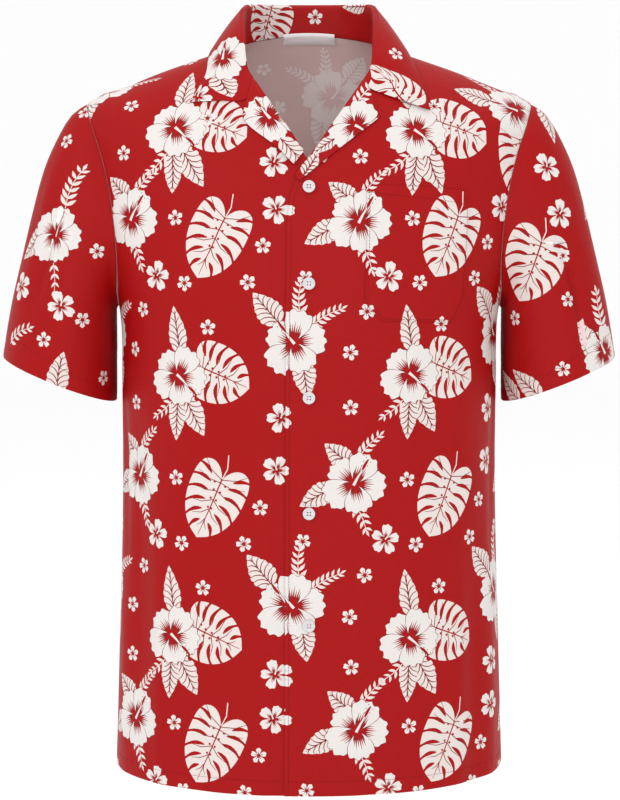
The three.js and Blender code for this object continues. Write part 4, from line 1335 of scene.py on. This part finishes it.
# Buttons with four holes and two bars of thread.
def ring_of(radius, height, sides, centre=(0, 0)):
    turn = np.linspace(0, 2 * np.pi, sides, endpoint=False)
    flat = np.array(centre) + radius * np.stack([np.cos(turn), np.sin(turn)], axis=-1)
    return np.column_stack([flat, np.full(sides, float(height))])


BUTTON_PROFILE = [(5.0, 0.15), (5.5, 0.4), (5.85, 0.8), (6.0, 1.25), (5.95, 1.7), (5.7, 2.1), (5.3, 2.35),
                  (4.85, 2.4), (4.5, 2.2), (4.25, 1.9), (3.95, 1.72)]
HOLE_RADIUS = 0.78
HOLE_SPREAD = 1.35
HOLE_SIDES = 16
BUTTON_SIDES = 48
THREAD_RISE = 1.55          # height of the thread above a button's seat


def button_mesh():
    """A turned disc whose front and back faces are cut round the four holes."""
    holes = [(x * HOLE_SPREAD, y * HOLE_SPREAD) for x, y in ((1, 1), (-1, 1), (-1, -1), (1, -1))]
    verts, faces = [], []
    for radius, height in BUTTON_PROFILE:
        verts += ring_of(radius, height, BUTTON_SIDES).tolist()
    for r in range(len(BUTTON_PROFILE) - 1):
        for k in range(BUTTON_SIDES):
            n = (k + 1) % BUTTON_SIDES
            faces.append([r * BUTTON_SIDES + k, r * BUTTON_SIDES + n,
                          (r + 1) * BUTTON_SIDES + n, (r + 1) * BUTTON_SIDES + k])
    for end, up in ((0, False), (len(BUTTON_PROFILE) - 1, True)):
        radius, height = BUTTON_PROFILE[end]
        flat = [ring_of(radius, height, BUTTON_SIDES)]
        flat += [ring_of(HOLE_RADIUS, height, HOLE_SIDES, centre) for centre in holes]
        cuts, start = [], 0
        for loop in flat:
            cuts.append(list(range(start, start + len(loop))))
            start += len(loop)
        cut = delaunay_2d_cdt([Vector(p[:2]) for p in np.vstack(flat).tolist()], [], cuts, 0, 1e-6, True)
        base = len(verts)
        verts += [(v[0], v[1], height) for v in cut[0]]
        for face, held in zip(cut[2], cut[5]):
            if held == [0]:
                faces.append([base + i for i in (face if up else face[::-1])])
    for centre in holes:
        base = len(verts)
        verts += ring_of(HOLE_RADIUS, BUTTON_PROFILE[0][1], HOLE_SIDES, centre).tolist()
        verts += ring_of(HOLE_RADIUS, BUTTON_PROFILE[-1][1], HOLE_SIDES, centre).tolist()
        for k in range(HOLE_SIDES):
            n = (k + 1) % HOLE_SIDES
            faces.append([base + n, base + k, base + HOLE_SIDES + k, base + HOLE_SIDES + n])
    mesh = bpy.data.meshes.new("button")
    mesh.from_pydata(verts, [], faces)
    work = bmesh.new()
    work.from_mesh(mesh)
    bmesh.ops.remove_doubles(work, verts=work.verts, dist=0.001)
    bmesh.ops.recalc_face_normals(work, faces=work.faces)
    work.to_mesh(mesh)
    work.free()
    return mesh


def button_place(z):
    """Axes and middle of a button: across, up, out and where its back rests."""
    angle, h = on_front(0, z)
    out = form_normal(angle, h)[0]
    up = unit(np.cross(out, [1.0, 0, 0]))
    across = np.cross(up, out)
    return np.array([across, up, out]), body_point(angle, h, LAID_MID)[0]


# Materials.
GROUND = (0.335, 0.0022, 0.0028, 1)
PETAL = (0.70, 0.66, 0.635, 1)
LEAF_INK = (0.70, 0.625, 0.59, 1)
LINE_INK = (0.21, 0.011, 0.012, 1)
REVERSE = (0.78, 0.59, 0.575, 1)
REVERSE_GHOST = (0.90, 0.83, 0.81, 1)
BUTTON_WHITE = (0.62, 0.61, 0.63, 1)
LABEL_WHITE = (0.80, 0.77, 0.77, 1)
THREAD_RED = (0.22, 0.003, 0.004, 1)
THREAD_WHITE = (0.50, 0.46, 0.48, 1)
WEAVE = 620.0               # waves of thread in a metre of the chart


def shader(name, colour, roughness, specular):
    material = bpy.data.materials.new(name)
    material.use_nodes = True
    tree = material.node_tree
    base = tree.nodes["Principled BSDF"]
    base.inputs["Base Color"].default_value = colour
    base.inputs["Roughness"].default_value = roughness
    base.inputs["Specular IOR Level"].default_value = specular
    return material, tree, base


def cloth_material(name, colour, roughness=0.55, specular=0.14, flaw=0.1):
    """Plain weave: crossed threads as a fine bump, slubs along them and a slight unevenness of tone."""
    material, tree, base = shader(name, colour, roughness, specular)
    add, join = tree.nodes.new, tree.links.new
    place = add("ShaderNodeUVMap")
    place.uv_map = "Cloth"
    threads = []
    for direction in ("X", "Y"):
        wave = add("ShaderNodeTexWave")
        wave.bands_direction = direction
        wave.inputs["Scale"].default_value = WEAVE
        wave.inputs["Distortion"].default_value = 0.6
        join(place.outputs["UV"], wave.inputs["Vector"])
        threads.append(wave)
    weave = add("ShaderNodeMath")
    weave.operation = "MAXIMUM"
    join(threads[0].outputs["Fac"], weave.inputs[0])
    join(threads[1].outputs["Fac"], weave.inputs[1])
    bump = add("ShaderNodeBump")
    bump.inputs["Strength"].default_value = 0.14
    bump.inputs["Distance"].default_value = 0.0002
    join(weave.outputs[0], bump.inputs["Height"])
    rumple = add("ShaderNodeTexNoise")
    rumple.inputs["Scale"].default_value = 34.0
    rumple.inputs["Detail"].default_value = 2.0
    join(place.outputs["UV"], rumple.inputs["Vector"])
    soft = add("ShaderNodeBump")
    soft.inputs["Strength"].default_value = 0.22
    soft.inputs["Distance"].default_value = 0.004
    join(rumple.outputs["Fac"], soft.inputs["Height"])
    join(bump.outputs["Normal"], soft.inputs["Normal"])
    join(soft.outputs["Normal"], base.inputs["Normal"])
    stretch = add("ShaderNodeMapping")
    stretch.inputs["Scale"].default_value = (1.0, 7.0, 1.0)
    join(place.outputs["UV"], stretch.inputs["Vector"])
    slub = add("ShaderNodeTexNoise")
    slub.inputs["Scale"].default_value = 110.0
    slub.inputs["Detail"].default_value = 5.0
    join(stretch.outputs["Vector"], slub.inputs["Vector"])
    tone = add("ShaderNodeMixRGB")
    tone.blend_type = "OVERLAY"
    tone.inputs["Fac"].default_value = flaw
    tone.inputs["Color1"].default_value = colour
    join(slub.outputs["Fac"], tone.inputs["Color2"])
    join(tone.outputs["Color"], base.inputs["Base Color"])
    return material


def smooth_material(name, colour, roughness, grain=700.0, specular=0.4):
    """A plain finish with a fine unevenness."""
    material, tree, base = shader(name, colour, roughness, specular)
    place = tree.nodes.new("ShaderNodeTexCoord")
    noise = tree.nodes.new("ShaderNodeTexNoise")
    noise.inputs["Scale"].default_value = grain
    bump = tree.nodes.new("ShaderNodeBump")
    bump.inputs["Strength"].default_value = 0.1
    bump.inputs["Distance"].default_value = 0.0002
    tree.links.new(place.outputs["Object"], noise.inputs["Vector"])
    tree.links.new(noise.outputs["Fac"], bump.inputs["Height"])
    tree.links.new(bump.outputs["Normal"], base.inputs["Normal"])
    return material


FACE_INKS = [
    cloth_material("cloth_red", GROUND),
    cloth_material("print_petal", PETAL),
    cloth_material("print_leaf", LEAF_INK),
    cloth_material("print_line", LINE_INK),
]
BACK_INKS = [
    cloth_material("reverse_ground", REVERSE, 0.8),
    cloth_material("reverse_petal", REVERSE_GHOST, 0.8),
    cloth_material("reverse_leaf", REVERSE_GHOST, 0.8),
    cloth_material("reverse_line", REVERSE, 0.8),
]
LABEL_CLOTH = cloth_material("label_cloth", LABEL_WHITE, 0.42, 0.4)
BUTTON_SHELL = smooth_material("button_white", BUTTON_WHITE, 0.28)
THREAD = smooth_material("thread_red", THREAD_RED, 0.6, 2500.0, 0.2)
PALE_THREAD = smooth_material("thread_pale", THREAD_WHITE, 0.6, 2500.0, 0.2)


def rows_of_points(a_from, a_to, heights, step=3.0):
    """Rows of points across the chart, where the surface needs finer triangles."""
    a = np.arange(a_from, a_to, step)
    return [np.stack([a, np.full(len(a), b)], axis=-1) for b in heights]


def declared(piece, node):
    """A piece that stands for a node of the frame: the imported part of that name is hidden."""
    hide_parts(node)
    return piece


# Body panels.
PANEL_SKIN = (0.0, CLOTH_SKIN)          # how far a shell's face lies over its form, and its thickness
PANEL_INKS = FACE_INKS + BACK_INKS
FRONT_PRINTS = {
    "left": {"side": 1, "shift": (99, -81), "reach": (-70, 330),
             "drift": ((-720, 4, -34), (-640, 3, -26), (-549, 0, -24), (-402, 0, -18), (-315, 0, 0),
                       (-175, 4, 0), (-81, 13, 0))},
    "right": {"side": -1, "shift": (-130, -81), "reach": (-330, 70),
              "drift": ((-720, -3, -34), (-640, -3, -26), (-549, -8, -24), (-402, 0, -18), (-315, 0, -3),
                        (-175, 2, 0), (-81, -11, 3))},
}
BACK_SHIFT = (-141, 150)
hem_rows = (BODY_HEM - HEM_ROW, BODY_HEM, BODY_HEM + HEM_ROW)
panels = {}
for name, look in FRONT_PRINTS.items():
    cloth = body_like(look["side"])
    cloth.groove = hem_groove(BODY_HEM, name)
    cloth.extra = hem_extra(BODY_HEM)
    outline = front_outline(look["side"])
    low, high = outline[:, 0].min() + 4, outline[:, 0].max() - 4
    inside = rows_of_points(low, high, hem_rows)
    motifs = body_print(FRONT_FLAT, look["shift"], look["reach"], look["drift"])
    if name == "left":
        motifs = [motif for motif in motifs if not crowded(motif, cloth, SHOULDER_SPOT)]
    motifs += placed_print(BODY, f"front_{name}")
    piece = printed_shell(f"front_{name}", cloth, outline, motifs, PANEL_SKIN, PANEL_INKS, inside)
    panels[f"front_{name}"] = declared(piece, f"front_{name}")
    sew(cloth, [(low - 2, BODY_HEM), (high + 2, BODY_HEM)])

back_cloth = body_like()
back_cloth.groove = hem_groove(BODY_HEM, "back")
back_cloth.extra = hem_extra(BODY_HEM)
back_edges = (92 * BODY_STEP, 268 * BODY_STEP)
back_motifs = body_print(BACK_FLAT, BACK_SHIFT, (-330, 330))
back_rows = rows_of_points(*back_edges, hem_rows)
panels["back"] = printed_shell("back", back_cloth, back_outline(), back_motifs, PANEL_SKIN, PANEL_INKS,
                               back_rows, BACK_LINES_FROM)
declared(panels["back"], "back")
sew(back_cloth, [(back_edges[0], BODY_HEM), (back_edges[1], BODY_HEM)])

# Sleeves, which are sewn up along the line under the arm.
SLEEVE_HALF = 180 * SLEEVE_STEP - 0.1
SLEEVE_PRINTS = {
    "left": {"side": 1, "shift": (-72, 120), "behind": (20, 260)},
    "right": {"side": -1, "shift": (70, 120), "behind": (-260, -15)},
}
sleeve_hem_rows = (SLEEVE_HEM - HEM_ROW, SLEEVE_HEM, SLEEVE_HEM + HEM_ROW)
sleeve_rows = rows_of_points(4 - SLEEVE_HALF, SLEEVE_HALF - 4, sleeve_hem_rows)
for name, look in SLEEVE_PRINTS.items():
    cloth = Sleeve(look["side"], SLEEVE_FOLDS[name])
    cloth.groove = hem_groove(SLEEVE_HEM, name)
    cloth.extra = hem_extra(SLEEVE_HEM)
    outline = rectangle_outline(-SLEEVE_HALF, SLEEVE_HALF, 0, SLEEVE_LENGTH)
    motifs = repeat_places(look["shift"], look["behind"], (-60, SLEEVE_LENGTH + 60))
    motifs += placed_print(cloth, f"sleeve_{name}")
    piece = printed_shell(f"sleeve_{name}", cloth, outline, motifs, PANEL_SKIN, PANEL_INKS, sleeve_rows)
    panels[f"sleeve_{name}"] = declared(piece, f"sleeve_{name}")
    sew(cloth, [(2 - SLEEVE_HALF, SLEEVE_HEM), (SLEEVE_HALF - 2, SLEEVE_HEM)])

# Collar and lapels.
SEWN = (SEWN_SKIN / 2, SEWN_SKIN)


def net_piece(name, net, motifs, fold_from, fold_to, rows):
    """A sewn piece on a net, with closer points where it folds over."""
    outline = rectangle_outline(0, net.a_keys[-1], 0, net.b_keys[-1], 2.5)
    lines = rows_of_points(2, net.a_keys[-1] - 2, np.linspace(fold_from, fold_to, rows), 2.6)
    piece = printed_shell(name, net, outline, motifs, SEWN, FACE_INKS, lines)
    return declared(piece, name)


# Motifs on the collar's leaf behind the neck: motif, distance from the middle, turn.
COLLAR_BEHIND = [
    (LONE_MONSTERA, -66, 160),
    (BLOSSOM, -20, 0),
    (COLLAR_BLOOM, 24, 200),
    (FLOWER, 76, 30),
]
collar = collar_net()
collar_middle = collar.a_keys[-1] / 2
leaf_middle = (collar.b_keys[5] + collar.b_keys[-1]) / 2
collar_motifs = placed_print(collar, "collar")
for motif, across, turn in COLLAR_BEHIND:
    collar_motifs.append((motif, (collar_middle + across, leaf_middle), turn))
panels["collar"] = net_piece("collar", collar, collar_motifs, collar.b_keys[1], collar.b_keys[6], 10)
for name, side in (("left", 1), ("right", -1)):
    net = lapel_net(side, name)
    motifs = placed_print(net, f"lapel_{name}")
    panels[f"lapel_{name}"] = net_piece(f"lapel_{name}", net, motifs, net.b_keys[0] + 0.8, net.b_keys[6], 7)

# Pocket, with the print of the front that it lies on.
POCKET_SKIN = (0.3, 0.6)
POCKET_SEWN = 1.8           # how far inside its edge it is sewn on
POCKET_THREAD = 0.42        # height of its stitches
pocket_cloth = body_like(1, LAID_MID)
corner_angles, corner_hs = on_front([x for x, _ in POCKET], [z for _, z in POCKET])
pocket_corners = [(angle * BODY_STEP, h) for angle, h in zip(corner_angles, corner_hs)]
pocket_outline = fine_outline(pocket_corners, 3.0)
under = FRONT_PRINTS["left"]
pocket_motifs = body_print(FRONT_FLAT, under["shift"], under["reach"], under["drift"])
panels["pocket"] = printed_shell("pocket", pocket_cloth, pocket_outline, pocket_motifs, POCKET_SKIN,
                                 FACE_INKS)
declared(panels["pocket"], "pocket")


def drawn_in(corners, inset):
    """The corners of an outline, moved in towards their middle by about an inset."""
    corners = np.array(corners, float)
    middle = corners.mean(axis=0)
    return corners - np.sign(corners - middle) * inset


sewn_line = drawn_in(pocket_corners, POCKET_SEWN)
sew(pocket_cloth, [sewn_line[0], *sewn_line[:0:-1]], POCKET_THREAD)
sew(pocket_cloth, sewn_line[:2] - [0, POCKET_HEM], POCKET_THREAD)

# Front edge of the wearer's left front, sewn down from the lapel to the hem.
EDGE_SEWN = 3.2
edge_h = np.linspace(2, on_front(*EDGE_BEND)[1][0] - 4, 90)
edge_line = np.stack([front_edge_angle(edge_h) * BODY_STEP + EDGE_SEWN, edge_h], axis=-1)
sew(body_like(), edge_line)
stitching("seam_stitches", THREAD, stitches)

# Label, left bare.
LABEL_SKIN = (0.35, 0.7)
label = label_net()
label_outline = rectangle_outline(0, label.a_keys[-1], 0, label.b_keys[-1], 2.0)
panels["label"] = printed_shell("label", label, label_outline, [], LABEL_SKIN, [LABEL_CLOTH] * len(INKS))
declared(panels["label"], "label")

# Buttons, each with two bars of thread.
BAR_RADIUS = 0.3
button_form = button_mesh()
button_points = np.array([list(vertex.co) for vertex in button_form.vertices])
button_faces = [list(polygon.vertices) for polygon in button_form.polygons]
bars = []
for number, z in enumerate(BUTTON_HEIGHTS, 1):
    axes, stand = button_place(z)
    mesh = bpy.data.meshes.new(f"button_{number}_fine")
    mesh.from_pydata(((button_points @ axes + stand) * MM).tolist(), [], button_faces)
    mesh.materials.append(BUTTON_SHELL)
    mesh.polygons.foreach_set("use_smooth", np.ones(len(button_faces), bool))
    mesh.set_sharp_from_angle(angle=math.radians(40))
    cells_out(mesh)
    piece = added(f"button_{number}_fine", mesh)
    declared(piece, f"button_{number}")
    for start, end in (((-1, -1), (-1, 1)), ((1, -1), (1, 1))):
        ends = []
        for corner in (start, end):
            ends.append(np.append(np.array(corner) * HOLE_SPREAD, THREAD_RISE) @ axes + stand)
        bars.append((ends[0][None], ends[1][None], axes[2][None]))
stitching("button_threads", PALE_THREAD, bars, BAR_RADIUS)

# Floor, light and camera, in metres.
FLOOR_Z = -0.95
FLOOR_FLAT = 5.0
FLOOR_BEND = 2.5
profile = [(0, 0), (FLOOR_FLAT, 0)]
for turn in range(6, 91, 6):
    bend = math.radians(turn)
    profile.append((FLOOR_FLAT + FLOOR_BEND * math.sin(bend), FLOOR_BEND * (1 - math.cos(bend))))
floor_sides = 96
verts, faces = [], []
for radius, height in profile:
    for k in range(floor_sides):
        verts.append((*(polar(radius, 360 * k / floor_sides)), height))
for r in range(len(profile) - 1):
    for k in range(floor_sides):
        n = (k + 1) % floor_sides
        low, high = r * floor_sides, (r + 1) * floor_sides
        faces.append((low + k, high + k, high + n, low + n))
floor_mesh = bpy.data.meshes.new("floor")
floor_mesh.from_pydata(verts, [], faces)
floor_mesh.polygons.foreach_set("use_smooth", np.ones(len(faces), bool))
floor = bpy.data.objects.new("floor", floor_mesh)
floor.location = (0, 0, FLOOR_Z)
bpy.context.scene.collection.objects.link(floor)
floor_mesh.materials.append(smooth_material("floor_white", (0.97, 0.97, 0.97, 1), 0.9, 3.0, 0.1))

world = bpy.data.worlds.new("studio")
world.use_nodes = True
world.node_tree.nodes["Background"].inputs["Color"].default_value = (1, 1, 1, 1)
world.node_tree.nodes["Background"].inputs["Strength"].default_value = 1.0
bpy.context.scene.world = world


def soft_light(name, place, target, size, power):
    data = bpy.data.lights.new(name, "AREA")
    data.shape = "DISK"
    data.size = size
    data.energy = power
    lamp = bpy.data.objects.new(name, data)
    lamp.location = place
    lamp.rotation_euler = (Vector(target) - Vector(place)).to_track_quat("-Z", "Y").to_euler()
    bpy.context.scene.collection.objects.link(lamp)


soft_light("key", (-1.5, -2.0, 1.3), (0, 0, -0.3), 0.9, 13)
soft_light("front", (0.25, -2.9, 0.35), (0, 0, -0.2), 0.8, 11)
soft_light("top", (0.3, 0.3, 2.0), (0, 0, -0.3), 1.2, 9)

camera_data = bpy.data.cameras.new("camera")
camera_data.lens = CAMERA_LENS
camera_data.sensor_width = 36
camera = bpy.data.objects.new("camera", camera_data)
camera.location = CAMERA_PLACE
camera.rotation_euler = (math.radians(90 - CAMERA_PITCH), 0, 0)
bpy.context.scene.collection.objects.link(camera)
bpy.context.scene.camera = camera
bpy.context.scene.view_settings.view_transform = "Standard"
